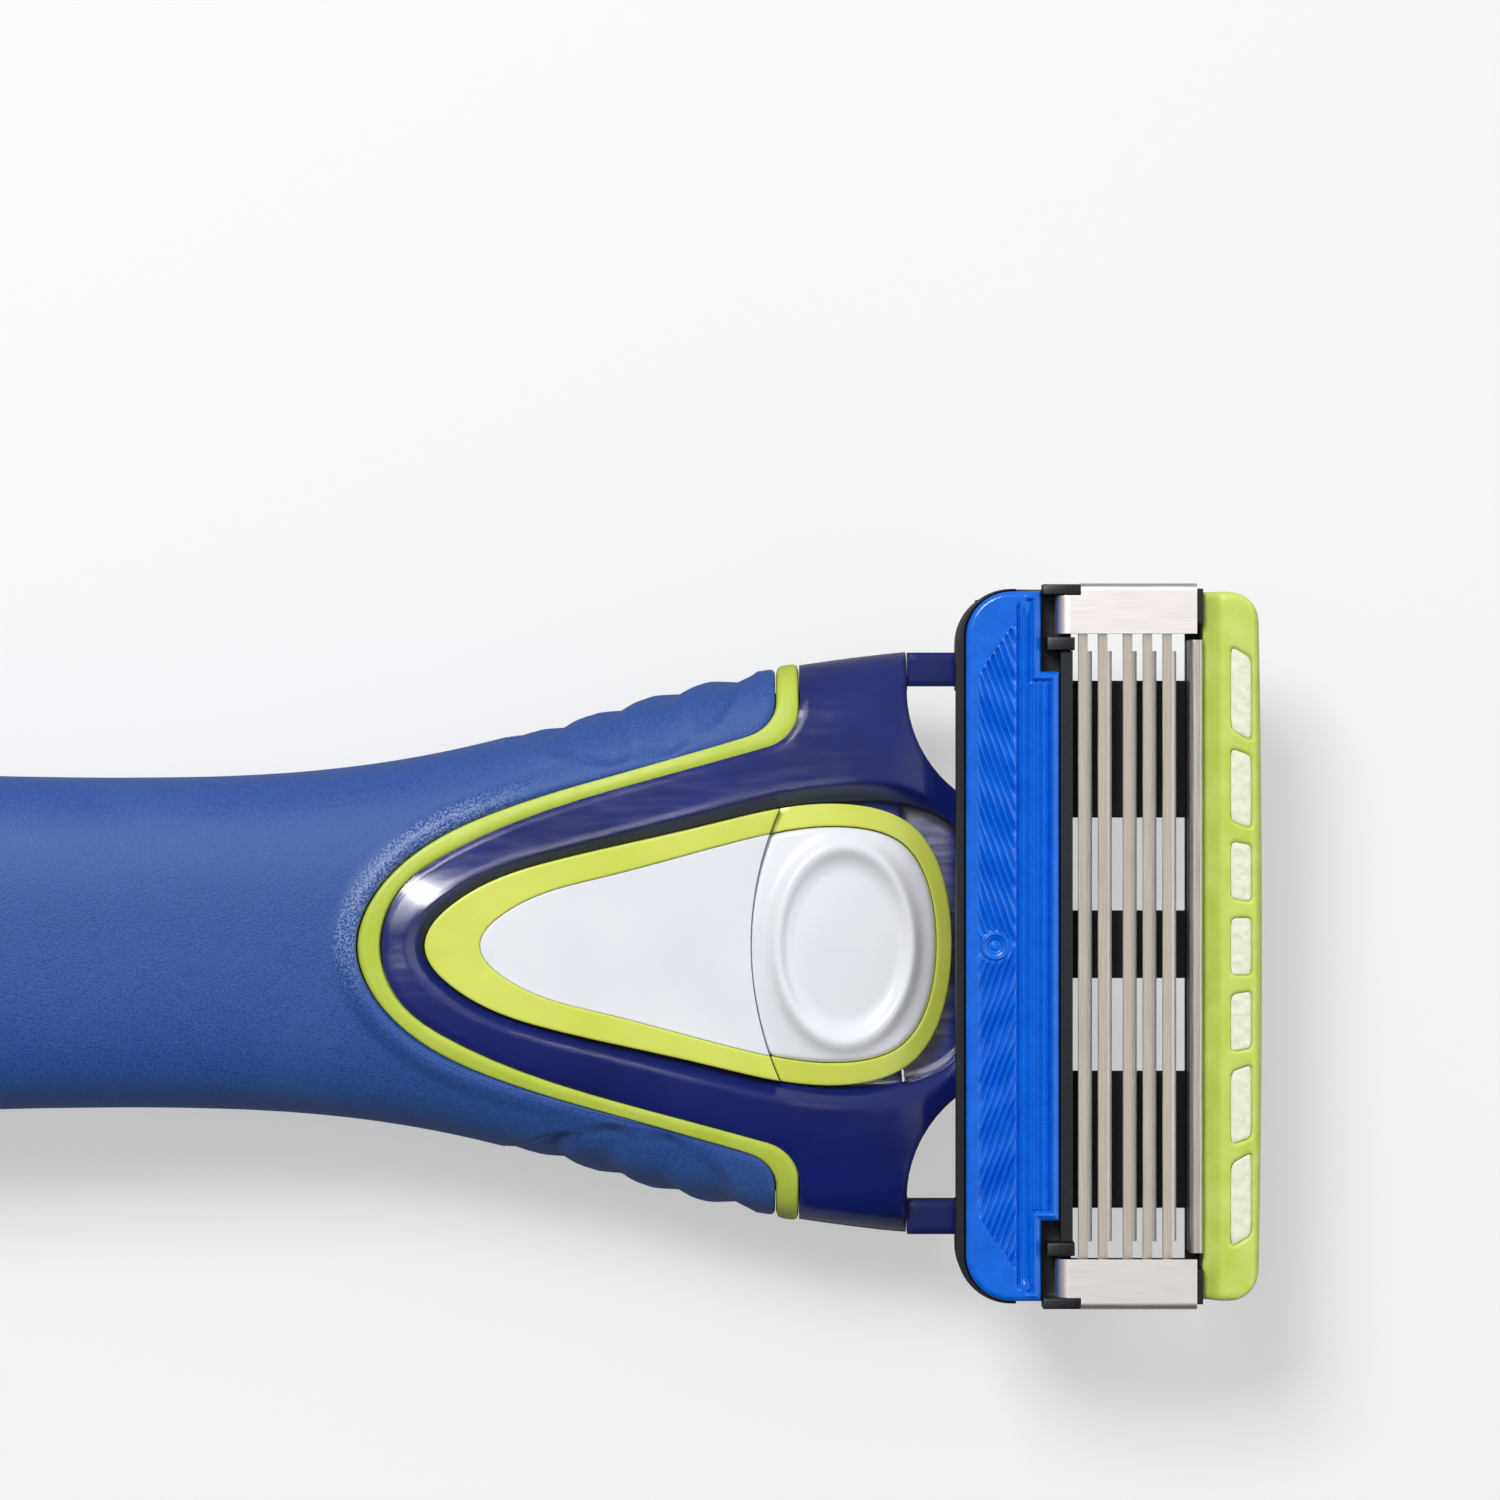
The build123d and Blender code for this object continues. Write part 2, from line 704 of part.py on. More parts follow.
end_blocks = [end_block(side, 0) for side in (1, -1)]
lever_reach = radians(lever_angle)
lever_tip = (pivot_x + lever_arm * sin(lever_reach), pivot_z - lever_arm * cos(lever_reach))
lever_step = (lever_tip_radius * cos(lever_reach), lever_tip_radius * sin(lever_reach))
lever_outline = [
    (lever_tip[0] - lever_step[0], lever_tip[1] - lever_step[1]),
    (lever_tip[0] + lever_step[0], lever_tip[1] + lever_step[1]),
    (pivot_x + 1.6, frame_floor_z), (pivot_x - 0.7, frame_floor_z),
    (plunger_tip_x + slide_gap, plunger_z + 1.3),
]
beam_chamfer = [
    (frame_rear_x - 1, frame_floor_z - 1), (frame_rear_x - 1, chamfer[1]), (frame_rear_x, chamfer[1]),
    (chamfer[0], frame_floor_z), (chamfer[0], frame_floor_z - 1),
]
chamfer_space = side_profile(beam_chamfer, chamfer_half)

with BuildPart() as cartridge_frame:
    # Rear beam under the guard, with its rounded rear corners and low rear wall.
    box_between((frame_rear_x, -frame_half, frame_floor_z), (bay[0], frame_half, guard_floor_z))
    box_between((frame_rear_x, -frame_half, guard_floor_z),
                (rear_wall_front_x, frame_half, rear_wall_top))
    corners = cartridge_frame.edges().filter_by(Axis.Z).group_by(Axis.X)[0]
    fillet(corners, frame_corner)
    with BuildSketch(Plane.XY.offset(guard_floor_z)):
        with Locations(((guard[0] + bay[0]) / 2 - fit_gap, 0)):
            seat = Rectangle(bay[0] - guard[0], 2 * (frame_half - slide_gap))
        fillet(seat.vertices().group_by(Axis.X)[0], guard_corner + slide_gap)
    extrude(amount=face_z - guard_floor_z, mode=Mode.SUBTRACT)
    # Bar between guard and blades, floor of the blade bay, end blocks and front base.
    box_between((bar_rear_x, -bar_half, guard_floor_z), (bay[0], bar_half, bar_top))
    box_between((bay[0], -bay_half, frame_floor_z), (bay[1], bay_half, bay_floor_z))
    add(end_blocks)
    base_half = frame_half - 0.6
    box_between((bay[1], -base_half, frame_floor_z), (base_front_x, base_half, bay_floor_z - fit_gap))
    box_between((rail[0], -rail_half, bay_floor_z), (rail[1], rail_half, rail_z[0] - fit_gap))
    # Fingers beside the clips.
    for x_range, y_range, top in (inner_finger, outer_finger):
        mirrored_box(x_range, y_range, (guard_floor_z, top))
    # Openings that let water through the blade bay.
    for span in floor_openings:
        mirrored_box((bay[0], rail[0]), span, (frame_floor_z, bay_floor_z), Mode.SUBTRACT)
    # Chamfered underside of the rear beam.
    add(chamfer_space, mode=Mode.SUBTRACT)
    # Pivot lugs with blind bores.
    for side in (1, -1):
        with BuildSketch(Plane.XZ.offset(-side * lug_y[0])):
            with Locations((pivot_x, pivot_z)):
                Circle(lug_radius)
            with Locations((pivot_x, (pivot_z + frame_floor_z) / 2)):
                Rectangle(2 * lug_radius, frame_floor_z - pivot_z)
        extrude(amount=-side * (lug_y[1] - lug_y[0]))
        with BuildSketch(Plane.XZ.offset(-side * lug_y[0])):
            with Locations((pivot_x, pivot_z)):
                Circle(pivot_pin_radius + pin_gap)
        extrude(amount=-side * (lug_bore_end - lug_y[0]), mode=Mode.SUBTRACT)
    # Lever that the plunger presses on.
    with BuildSketch(Plane.XZ.offset(-lever_half)):
        with Locations(lever_tip):
            Circle(lever_tip_radius)
        with BuildLine():
            Polyline(*lever_outline, close=True)
        make_face()
    extrude(amount=2 * lever_half)
save(cartridge_frame, "cartridge_frame")

# ---------------------------------------------------------------- guard strip
with BuildPart() as guard_strip:
    with BuildSketch(Plane.XY.offset(guard_floor_z)):
        with Locations(((guard[0] + guard[1]) / 2 + guard_seat_gap, 0)):
            body = Rectangle(guard[1] - guard[0], 2 * (frame_half - slide_gap - guard_seat_gap))
        fillet(body.vertices().group_by(Axis.X)[0], guard_corner)
        for side in (1, -1):
            notch_y = side * (guard_notch[1] + frame_half) / 2
            with Locations((guard[1], notch_y)):
                Rectangle(2 * (guard[1] - guard_notch[0]), frame_half - guard_notch[1],
                          mode=Mode.SUBTRACT)
    extrude(amount=guard_top_z - guard_floor_z)
    fillet(guard_strip.faces().sort_by(Axis.Z)[-1].edges().group_by(Axis.X)[0], guard_rim)
save(guard_strip, "guard_strip")


# ---------------------------------------------------------------- blades
tilt = radians(blade_tilt)


def blade_strip(edge_x):
    """One tilted blade, its edge pointing to the tail."""
    across = (cos(tilt), 0, -sin(tilt))
    blade_plane = Plane((edge_x, 0, blade_edge_z), x_dir=across, z_dir=(0, -1, 0))
    with BuildPart() as strip:
        with BuildSketch(blade_plane):
            with BuildLine():
                back = (blade_width, -blade_thickness)
                Polyline((0, 0), (blade_width, 0), back, (blade_bevel, -blade_thickness), close=True)
            make_face()
        extrude(amount=blade_length / 2, both=True)
    return strip


def blade_support(edge_x):
    """Bent strip that carries a blade: a tilted shelf, a bend and a leg."""
    shelf_start = (edge_x + shelf_offset[0], blade_edge_z + shelf_offset[1])
    shelf_end = (shelf_start[0] + shelf_run, shelf_start[1] - shelf_run * tan(tilt))
    with BuildPart() as support:
        with BuildSketch(Plane.XZ):
            with BuildLine():
                shelf = Line(shelf_start, shelf_end)
                bend = JernArc(shelf @ 1, shelf % 1, bend_radius, blade_tilt - 90)
                Line(bend @ 1, ((bend @ 1).X, support_leg_z))
                offset(amount=support_thickness, side=Side.LEFT)
            make_face()
        extrude(amount=support_length / 2, both=True)
    return support


for number, edge_x in enumerate(blade_edges, start=1):
    save(blade_strip(edge_x), f"blade_{number}")
    save(blade_support(edge_x), f"blade_support_{number}")

# ---------------------------------------------------------------- rail, clips and cap
with BuildPart() as cap_rail:
    box_between((rail[0], -rail_half, rail_z[0]), (rail[1], rail_half, rail_z[1]))
    fillet(cap_rail.edges().filter_by(Axis.Y).group_by(Axis.Z)[-1], rail_corner)
save(cap_rail, "cap_rail")


def end_clip(side):
    """Bent metal clip that wraps one end of the blade pack."""
    inside = end_block(side, clip_fit)
    near, end = sorted((side * clip_inner_y, side * half_cartridge))
    open_top = face_z + clip_fit
    finger_x, finger_y, _ = outer_finger
    with BuildPart() as piece:
        box_between((clip[0], near, clip_bottom_z), (clip[1], end, clip_top_z))
        fillet(piece.edges().filter_by(Axis.Y).group_by(Axis.Z)[-1].sort_by(Axis.X)[0], clip_roll)
        outer_edges = piece.edges().filter_by(Axis.X).sort_by(Axis.Y)
        fillet(outer_edges[-2:] if side > 0 else outer_edges[:2], clip_edge)
        add(inside, mode=Mode.SUBTRACT)
        # Open the side towards the blades.
        mirrored_box((clip[0] + clip_sheet, clip[1]), (clip_inner_y, bay_half + clip_roll),
                     (clip_bottom_z, open_top), Mode.SUBTRACT)
        # Open the rear below its rolled edge.
        mirrored_box((clip[0], clip[0] + 1), (clip_inner_y, half_cartridge),
                     (clip_bottom_z, clip_rear_edge_z), Mode.SUBTRACT)
        # Cut the corner out round the frame's finger.
        mirrored_box((clip[0], finger_x[1] + clip_fit), (finger_y[0] - clip_fit, half_cartridge),
                     (clip_bottom_z, clip_top_z), Mode.SUBTRACT)
    return piece


save(end_clip(1), "clip_left")
save(end_clip(-1), "clip_right")


def window_sketch(shrink):
    """The row of openings in the cap, each drawn in by shrink."""
    spans = {*windows, *((-high, -low) for low, high in windows)}
    width = window[1] - window[0] - 2 * shrink
    with BuildSketch() as row:
        for low, high in sorted(spans):
            with Locations(((window[0] + window[1]) / 2, (low + high) / 2)):
                RectangleRounded(width, high - low - 2 * shrink, window_corner - shrink)
    return row.sketch


cap_windows = window_sketch(0)
strip_pads = window_sketch(fit_gap)

with BuildPart() as cap_cover:
    add(side_profile(cap_profile, cap_half))
    with BuildSketch(Plane.XY) as cap_plan:
        with BuildLine():
            corner_x = head_end - cap_bow
            front = ThreePointArc((corner_x, -cap_half), (head_end, 0), (corner_x, cap_half))
            Polyline(front @ 1, (cap_rear_x, cap_half), (cap_rear_x, -cap_half), front @ 0)
        make_face()
        fillet(cap_plan.vertices().group_by(Axis.X)[-1], cap_corner)
    extrude(amount=far, mode=Mode.INTERSECT)
    channel_half = strip_half + slide_gap
    box_between((strip_channel[0], -channel_half, bay_floor_z - slide_gap),
                (strip_channel[1], channel_half, strip_z[1]), Mode.SUBTRACT)
    with BuildSketch(Plane.XY.offset(strip_z[1] - slide_gap)):
        add(cap_windows)
    extrude(amount=far, mode=Mode.SUBTRACT)
save(cap_cover, "cap_cover")

with BuildPart() as lube_strip:
    box_between((strip_channel[0] + fit_gap, -strip_half, strip_z[0]),
                (strip_channel[1] - fit_gap, strip_half, strip_z[1] - fit_gap))
    with BuildSketch(Plane.XY.offset(strip_z[1] - slide_gap)):
        add(strip_pads)
    extrude(amount=pad_top_z - strip_z[1] + slide_gap)
save(lube_strip, "lube_strip")
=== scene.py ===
import math

import bpy
import numpy as np
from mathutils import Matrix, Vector, noise
from mathutils.bvhtree import BVHTree
from mathutils.kdtree import KDTree


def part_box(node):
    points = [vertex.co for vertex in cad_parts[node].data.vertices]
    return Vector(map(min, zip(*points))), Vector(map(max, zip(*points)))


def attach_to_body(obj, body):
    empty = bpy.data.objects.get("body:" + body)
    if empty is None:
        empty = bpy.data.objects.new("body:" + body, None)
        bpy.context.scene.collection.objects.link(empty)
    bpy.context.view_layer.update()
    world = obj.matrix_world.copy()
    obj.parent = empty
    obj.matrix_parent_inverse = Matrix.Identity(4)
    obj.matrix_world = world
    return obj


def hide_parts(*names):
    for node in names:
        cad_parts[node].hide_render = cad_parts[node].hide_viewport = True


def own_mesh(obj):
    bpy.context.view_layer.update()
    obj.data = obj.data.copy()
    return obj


# Looks of the cartridge razor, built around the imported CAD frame. Blender works in metres,
# and lengths here are written in millimetres times MM.
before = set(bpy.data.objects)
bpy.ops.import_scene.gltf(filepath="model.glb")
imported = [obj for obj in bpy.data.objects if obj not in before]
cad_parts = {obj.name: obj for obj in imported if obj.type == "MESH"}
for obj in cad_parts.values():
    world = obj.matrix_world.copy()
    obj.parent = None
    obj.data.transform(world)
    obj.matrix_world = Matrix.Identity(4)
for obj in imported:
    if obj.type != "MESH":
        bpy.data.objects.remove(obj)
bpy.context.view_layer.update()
MM = 0.001
TURN = 2 * math.pi


# ---------------------------------------------------------------- numbers and shapes
def smoothstep(value):
    """0 below 0, 1 above 1 and a soft ramp between."""
    t = np.clip(value, 0.0, 1.0)
    return t * t * (3 - 2 * t)


def bump(distance, width):
    """Rounded ridge: 1 at no distance, fading out past the width."""
    return np.exp(-((distance / width) ** 2))


def wave(phase, peak):
    """Saw from 0 to 1 and back over each whole step of phase, with its crest at the peak share."""
    turn = phase % 1
    return np.where(turn < peak, turn / peak, (1 - turn) / (1 - peak))


def rolled_edge(gap, width, drop):
    """How far a rounded edge has dropped at some distance in from it."""
    out = np.clip(1 - gap / width, 0, 1)
    return drop * (1 - np.sqrt(1 - out**2))


def evened_round(values):
    """Values that run round a closed loop, each drawn towards its two neighbours."""
    return (np.roll(values, 1, axis=-1) + 2 * values + np.roll(values, -1, axis=-1)) / 4


def last_place(low, high, holds):
    """Where a condition stops holding on the way from low to high."""
    for _ in range(16):
        middle = (low + high) / 2
        low, high = (middle, high) if holds(middle) else (low, middle)
    return low


def surface_tree(*names):
    """Ray-casting tree over the surfaces of some CAD nodes."""
    points, faces = [], []
    for name in names:
        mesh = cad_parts[name].data
        start = len(points)
        points += [tuple(vertex.co) for vertex in mesh.vertices]
        faces += [[start + index for index in face.vertices] for face in mesh.polygons]
    return BVHTree.FromPolygons(points, faces)


def new_piece(name, points, faces, material, smooth=True):
    """Mesh object from points in metres."""
    mesh = bpy.data.meshes.new(name)
    mesh.from_pydata([tuple(point) for point in points], [], faces)
    mesh.update()
    mesh.validate()
    mesh.polygons.foreach_set("use_smooth", [smooth] * len(mesh.polygons))
    piece = bpy.data.objects.new(name, mesh)
    bpy.context.scene.collection.objects.link(piece)
    mesh.materials.append(material)
    return piece


def attach(piece, body, slot, *nodes):
    """The piece moves with a body and stands for CAD nodes, which are hidden. The slot is not used."""
    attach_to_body(piece, body)
    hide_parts(*nodes)


def grid_faces(rows, columns, close_rows=False, close_columns=False, start=0):
    """Quads over a grid of points stored row by row."""
    faces = []
    for row in range(rows if close_rows else rows - 1):
        next_row = (row + 1) % rows
        for column in range(columns if close_columns else columns - 1):
            next_column = (column + 1) % columns
            faces.append((start + row * columns + column, start + row * columns + next_column,
                          start + next_row * columns + next_column, start + next_row * columns + column))
    return faces


def outline(faces):
    """Closed loop of the points round a patch of faces, in the direction in which the faces turn."""
    edges = {(face[corner - 1], face[corner]) for face in faces for corner in range(len(face))}
    following = {first: second for first, second in edges if (second, first) not in edges}
    loop = [min(following)]
    while following[loop[-1]] != loop[0]:
        loop.append(following[loop[-1]])
    return loop


def plate(name, top, inside, floor_z, material):
    """Closed piece from a grid of top points.

    Only the inside cells are kept. Walls run down from their outline to a flat underside.
    """
    rows, columns = top.shape[:2]
    cells = np.array(grid_faces(rows, columns)).reshape(rows - 1, columns - 1, 4)[inside]
    used, faces = np.unique(cells, return_inverse=True)
    faces = faces.reshape(-1, 4).tolist()
    points = top.reshape(-1, 3)[used]
    rim = outline(faces)
    base = len(points)
    points = np.concatenate([points, points[rim] * (1, 1, 0) + (0, 0, floor_z)])
    for place, index in enumerate(rim):
        after = (place + 1) % len(rim)
        faces.append((rim[after], index, base + place, base + after))
    faces.append([base + place for place in range(len(rim) - 1, -1, -1)])
    piece = new_piece(name, points, faces, material)
    sharp = piece.modifiers.new("sharp walls", "EDGE_SPLIT")
    sharp.split_angle = math.radians(60)
    return piece


# ---------------------------------------------------------------- materials
def srgb(red, green, blue):
    """Linear colour from 0-255 display values."""
    values = [channel / 255 for channel in (red, green, blue)]
    return tuple(v / 12.92 if v <= 0.04045 else ((v + 0.055) / 1.055) ** 2.4 for v in values) + (1.0,)


class Finish:
    """A node material being put together. Grain sizes and depths are in millimetres on the piece."""

    def __init__(self, name, **inputs):
        self.material = bpy.data.materials.new(name)
        self.material.use_nodes = True
        self.tree = self.material.node_tree
        self.shader = self.tree.nodes["Principled BSDF"]
        self.coordinates = self.tree.nodes.new("ShaderNodeTexCoord").outputs["Object"]
        self.set(**inputs)

    def feed(self, socket, value):
        """Give an input a value, or link it to another node's output."""
        if isinstance(value, bpy.types.NodeSocket):
            self.tree.links.new(value, socket)
        else:
            socket.default_value = value

    def set(self, **inputs):
        """Feed the shader's inputs. An underscore in a name stands for a space."""
        for name, value in inputs.items():
            self.feed(self.shader.inputs[name.replace("_", " ")], value)

    def node(self, kind, inputs, output, **settings):
        """Add a node, feed its inputs and return one output."""
        added = self.tree.nodes.new(kind)
        for name, value in settings.items():
            setattr(added, name, value)
        for name, value in inputs.items():
            self.feed(added.inputs[name], value)
        return added.outputs[output]

    def noise(self, grain, detail=2.0, stretch=(1, 1, 1)):
        """Noise from 0 to 1 with lumps of about the grain size, drawn out along an axis by stretch."""
        scale = tuple(1 / (grain * MM * factor) for factor in stretch)
        placed = self.node("ShaderNodeMapping", {"Vector": self.coordinates, "Scale": scale}, "Vector")
        return self.node("ShaderNodeTexNoise", {"Vector": placed, "Scale": 1.0, "Detail": detail}, "Fac")

    def span(self, value, low, high, to_low=0.0, to_high=1.0):
        """Value mapped from one range to another, clamped."""
        inputs = {"Value": value, "From Min": low, "From Max": high, "To Min": to_low, "To Max": to_high}
        return self.node("ShaderNodeMapRange", inputs, "Result")

    def spread(self, pattern, to_low=0.0, to_high=1.0):
        """Noise drawn out to a whole range, since nearly all of it lies between 0.3 and 0.7."""
        return self.span(pattern, 0.3, 0.7, to_low, to_high)

    def mix(self, factor, first, second):
        """Colour between first and second."""
        added = self.tree.nodes.new("ShaderNodeMix")
        added.data_type = "RGBA"
        for name, value in (("Factor_Float", factor), ("A_Color", first), ("B_Color", second)):
            self.feed(next(s for s in added.inputs if s.identifier == name), value)
        return next(s for s in added.outputs if s.identifier == "Result_Color")

    def mottle(self, pattern, shade, colour):
        """Base colour that wanders between two close shades."""
        self.set(Base_Color=self.mix(self.spread(pattern), shade, colour))

    def maths(self, operation, first, second):
        """Arithmetic on two values."""
        return self.node("ShaderNodeMath", {0: first, 1: second}, "Value", operation=operation)

    def relief(self, height, depth, normal=None):
        """Surface relief of some depth in millimetres."""
        inputs = {"Height": height, "Distance": depth * MM, "Strength": 1.0}
        if normal is not None:
            inputs["Normal"] = normal
        return self.node("ShaderNodeBump", inputs, "Normal")

    def rounded(self, radius):
        """Normal that softens the piece's edges."""
        return self.node("ShaderNodeBevel", {"Radius": radius * MM}, "Normal", samples=6)


def rubber_finish():
    """Matt blue rubber: fine grain, faint handling marks, and a painted highlight of lighter speckles where
    the lip catches the light.
    """
    finish = Finish("grip_rubber", IOR=1.46, Sheen_Weight=0.12, Sheen_Roughness=0.45,
                    Sheen_Tint=srgb(190, 205, 240))
    grain = finish.noise(0.13, 3.0)
    patches = finish.noise(9.0, 3.0)
    lip = finish.node("ShaderNodeAttribute", {}, "Fac", attribute_name="lip")
    clean = finish.mix(finish.spread(grain), srgb(31, 66, 136), srgb(50, 90, 166))
    worn = finish.mix(finish.span(patches, 0.45, 0.75, 0.0, 0.25), clean, srgb(74, 104, 166))
    # Painted highlight: the lip attribute turns the base colour lighter in speckles where light catches the
    # lip.
    glint_speckle = finish.maths("MULTIPLY", lip, finish.span(grain, 0.46, 0.6))
    painted_glint = finish.maths("MULTIPLY", glint_speckle, 0.6)
    finish.set(Base_Color=finish.mix(painted_glint, worn, srgb(150, 166, 204)))
    shine = finish.maths("MULTIPLY", lip, 0.16)
    finish.set(Roughness=finish.maths("SUBTRACT", finish.spread(grain, 0.42, 0.66), shine))
    finish.set(Normal=finish.relief(grain, 0.035))
    return finish.material


def gloss_finish(name, colour, shade, roughness, edge, ripple):
    """Polished moulded plastic: slow waviness, fine wear in the gloss and soft edges."""
    finish = Finish(name, IOR=1.5, Coat_Weight=0.35, Coat_Roughness=0.08)
    finish.mottle(finish.noise(6.0), shade, colour)
    wear = finish.noise(0.5, 4.0, (6, 1, 1))
    finish.set(Roughness=finish.span(wear, 0.35, 0.75, roughness, roughness + 0.1))
    finish.set(Normal=finish.relief(finish.noise(2.5, 1.0), ripple, finish.rounded(edge)))
    return finish.material


def soft_finish(name, colour, shade):
    """Satin thermoplastic rubber with a fine skin and a little light in it."""
    finish = Finish(name, IOR=1.46, Subsurface_Weight=0.15, Subsurface_Scale=0.6 * MM)
    finish.mottle(finish.noise(3.0), shade, colour)
    grain = finish.noise(0.16, 3.0)
    finish.set(Roughness=finish.spread(grain, 0.3, 0.48), Normal=finish.relief(grain, 0.012))
    return finish.material


def elastomer_finish():
    """Glossy blue elastomer with a faint moulded skin."""
    finish = Finish("blue_elastomer", IOR=1.5, Subsurface_Weight=0.1, Subsurface_Scale=0.4 * MM)
    finish.mottle(finish.noise(0.9, 3.0), srgb(2, 98, 214), srgb(8, 110, 228))
    finish.set(Roughness=finish.spread(finish.noise(0.12), 0.16, 0.3))
    finish.set(Normal=finish.relief(finish.noise(0.2), 0.006))
    return finish.material


def black_finish():
    """Satin black plastic with a fine spark texture."""
    finish = Finish("black_plastic", IOR=1.5)
    grain = finish.noise(0.1, 3.0)
    finish.mottle(grain, srgb(15, 15, 19), srgb(32, 33, 38))
    finish.set(Roughness=finish.spread(grain, 0.32, 0.5))
    finish.set(Normal=finish.relief(grain, 0.008, finish.rounded(0.12)))
    return finish.material


def metal_finish(name, colour, shade, roughness, stretch=(1, 1, 1), metallic=1.0):
    """Metal with fine lines drawn out along its rolling or grinding direction."""
    finish = Finish(name, Metallic=metallic)
    lines = finish.noise(0.05, 3.0, stretch)
    stains = finish.noise(2.2, 3.0)
    brushed = finish.mix(finish.spread(lines), shade, colour)
    finish.set(Base_Color=finish.mix(finish.span(stains, 0.5, 0.8, 0.0, 0.3), brushed, shade))
    finish.set(Roughness=finish.spread(lines, roughness - 0.06, roughness + 0.08))
    finish.set(Normal=finish.relief(lines, 0.002, finish.rounded(0.04)))
    return finish.material


def cap_finish():
    """Slightly translucent lime plastic, through which blue light travels least."""
    finish = Finish("cap_lime", Roughness=0.36, IOR=1.49, Subsurface_Weight=0.5,
                    Subsurface_Scale=1.2 * MM, Subsurface_Radius=(1.0, 1.0, 0.35))
    finish.mottle(finish.noise(2.0), srgb(192, 212, 84), srgb(210, 226, 118))
    finish.set(Normal=finish.relief(finish.noise(0.25, 3.0), 0.01, finish.rounded(0.3)))
    return finish.material


def lube_finish():
    """Waxy compound with a dried, uneven skin."""
    finish = Finish("lube_white", IOR=1.45, Subsurface_Weight=0.15, Subsurface_Scale=0.8 * MM)
    lumps = finish.noise(0.3, 4.0)
    finish.mottle(lumps, srgb(230, 232, 208), srgb(240, 241, 222))
    finish.set(Roughness=finish.spread(lumps, 0.45, 0.7), Normal=finish.relief(lumps, 0.02))
    return finish.material


def plain_finish():
    """Natural acetal of the hidden mechanism, with faint flow lines."""
    finish = Finish("mechanism_plastic", Roughness=0.4, IOR=1.48, Subsurface_Weight=0.2,
                    Subsurface_Scale=0.5 * MM)
    finish.mottle(finish.noise(0.8, 3.0, (4, 1, 1)), srgb(206, 206, 200), srgb(228, 228, 224))
    finish.set(Normal=finish.relief(finish.noise(0.2), 0.006, finish.rounded(0.1)))
    return finish.material


LINES_ALONG_X, LINES_ALONG_Y = (60, 1, 1), (1, 60, 1)
finishes = {
    "navy_gloss": gloss_finish("navy_gloss", srgb(24, 36, 114), srgb(18, 27, 95), 0.12, 0.7, 0.0025),
    "grip_rubber": rubber_finish(),
    "lime_soft": soft_finish("lime_soft", srgb(192, 208, 84), srgb(182, 200, 66)),
    "lime_gloss": gloss_finish("lime_gloss", srgb(218, 226, 100), srgb(208, 219, 84), 0.3, 0.2, 0.015),
    "white_gloss": gloss_finish("white_gloss", srgb(236, 238, 243), srgb(230, 232, 238), 0.18, 0.15, 0.01),
    "mechanism_plastic": plain_finish(),
    "spring_steel": metal_finish("spring_steel", srgb(190, 190, 192), srgb(140, 140, 144), 0.25),
    "black_plastic": black_finish(),
    "blue_elastomer": elastomer_finish(),
    "cap_lime": cap_finish(),
    "lube_white": lube_finish(),
    "rail_steel": metal_finish("rail_steel", srgb(206, 201, 192), srgb(182, 176, 167), 0.3, LINES_ALONG_Y),
    "clip_aluminium": metal_finish("clip_aluminium", srgb(240, 233, 230), srgb(228, 221, 218), 0.42,
                                   LINES_ALONG_X),
    "blade_steel": metal_finish("blade_steel", srgb(206, 196, 185), srgb(176, 166, 154), 0.34, LINES_ALONG_Y),
    "support_steel": metal_finish("support_steel", srgb(255, 252, 248), srgb(236, 230, 224), 0.3,
                                  LINES_ALONG_Y, metallic=0.4),
}


# ---------------------------------------------------------------- hard CAD nodes
# Width of the rounded edges by slot, in millimetres. The arms are thin, so theirs are finer.
EDGE_WIDTHS = {"navy_gloss": 0.15, "lime_soft": 0.15, "lime_gloss": 0.1, "white_gloss": 0.08,
               "black_plastic": 0.08, "mechanism_plastic": 0.08, "rail_steel": 0.05}
ARM_EDGE_WIDTH = 0.05


def soften(node, width):
    """Rounded edges on a hard CAD node, by modifiers only."""
    weld = node.modifiers.new("weld", "WELD")
    weld.merge_threshold = 1e-6
    bevel = node.modifiers.new("edges", "BEVEL")
    bevel.width = width * MM
    bevel.segments = 3
    bevel.limit_method = "ANGLE"
    bevel.angle_limit = math.radians(38)
    node.modifiers.new("shading", "WEIGHTED_NORMAL")


def finish_cad_nodes():
    """Every CAD node takes the finish of its slot, and the hard ones get softer edges."""
    for name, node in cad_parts.items():
        slot_name = node.material_slots[0].material.name
        node.material_slots[0].material = finishes[slot_name]
        if slot_name in EDGE_WIDTHS:
            soften(node, ARM_EDGE_WIDTH if name.startswith("arm_") else EDGE_WIDTHS[slot_name])


finish_cad_nodes()


# ---------------------------------------------------------------- handle skin
# The skin is measured as radii round an axis along X at this height, from rays that start REACH away.
# Points within CLOSE count as the same place, and the soft parts end behind SHELL_FRONT.
AXIS_Z = 7.4 * MM
REACH = 40 * MM
CLOSE = 0.05 * MM
SHELL_FRONT = 47 * MM
skin_tree = surface_tree("grip", "accent_trim", "upper_housing", "lower_housing")
grip_tree = surface_tree("grip")
soft_tree = surface_tree("grip", "accent_trim")


def radius_at(tree, x, angle):
    """Distance from the handle's axis to the outside of a tree's parts, 0 where there is none."""
    out = Vector((0, math.cos(angle), math.sin(angle)))
    hit = tree.ray_cast(Vector((x, 0, AXIS_Z)) + REACH * out, -out)
    return REACH - hit[3] if hit[0] else 0.0


def front_edge(tree, angle):
    """x where a tree's parts end towards the head at one angle round the handle."""
    def on_the_skin(x):
        return radius_at(tree, x, angle) > radius_at(skin_tree, x, angle) - CLOSE

    return last_place(0.0, SHELL_FRONT, on_the_skin)


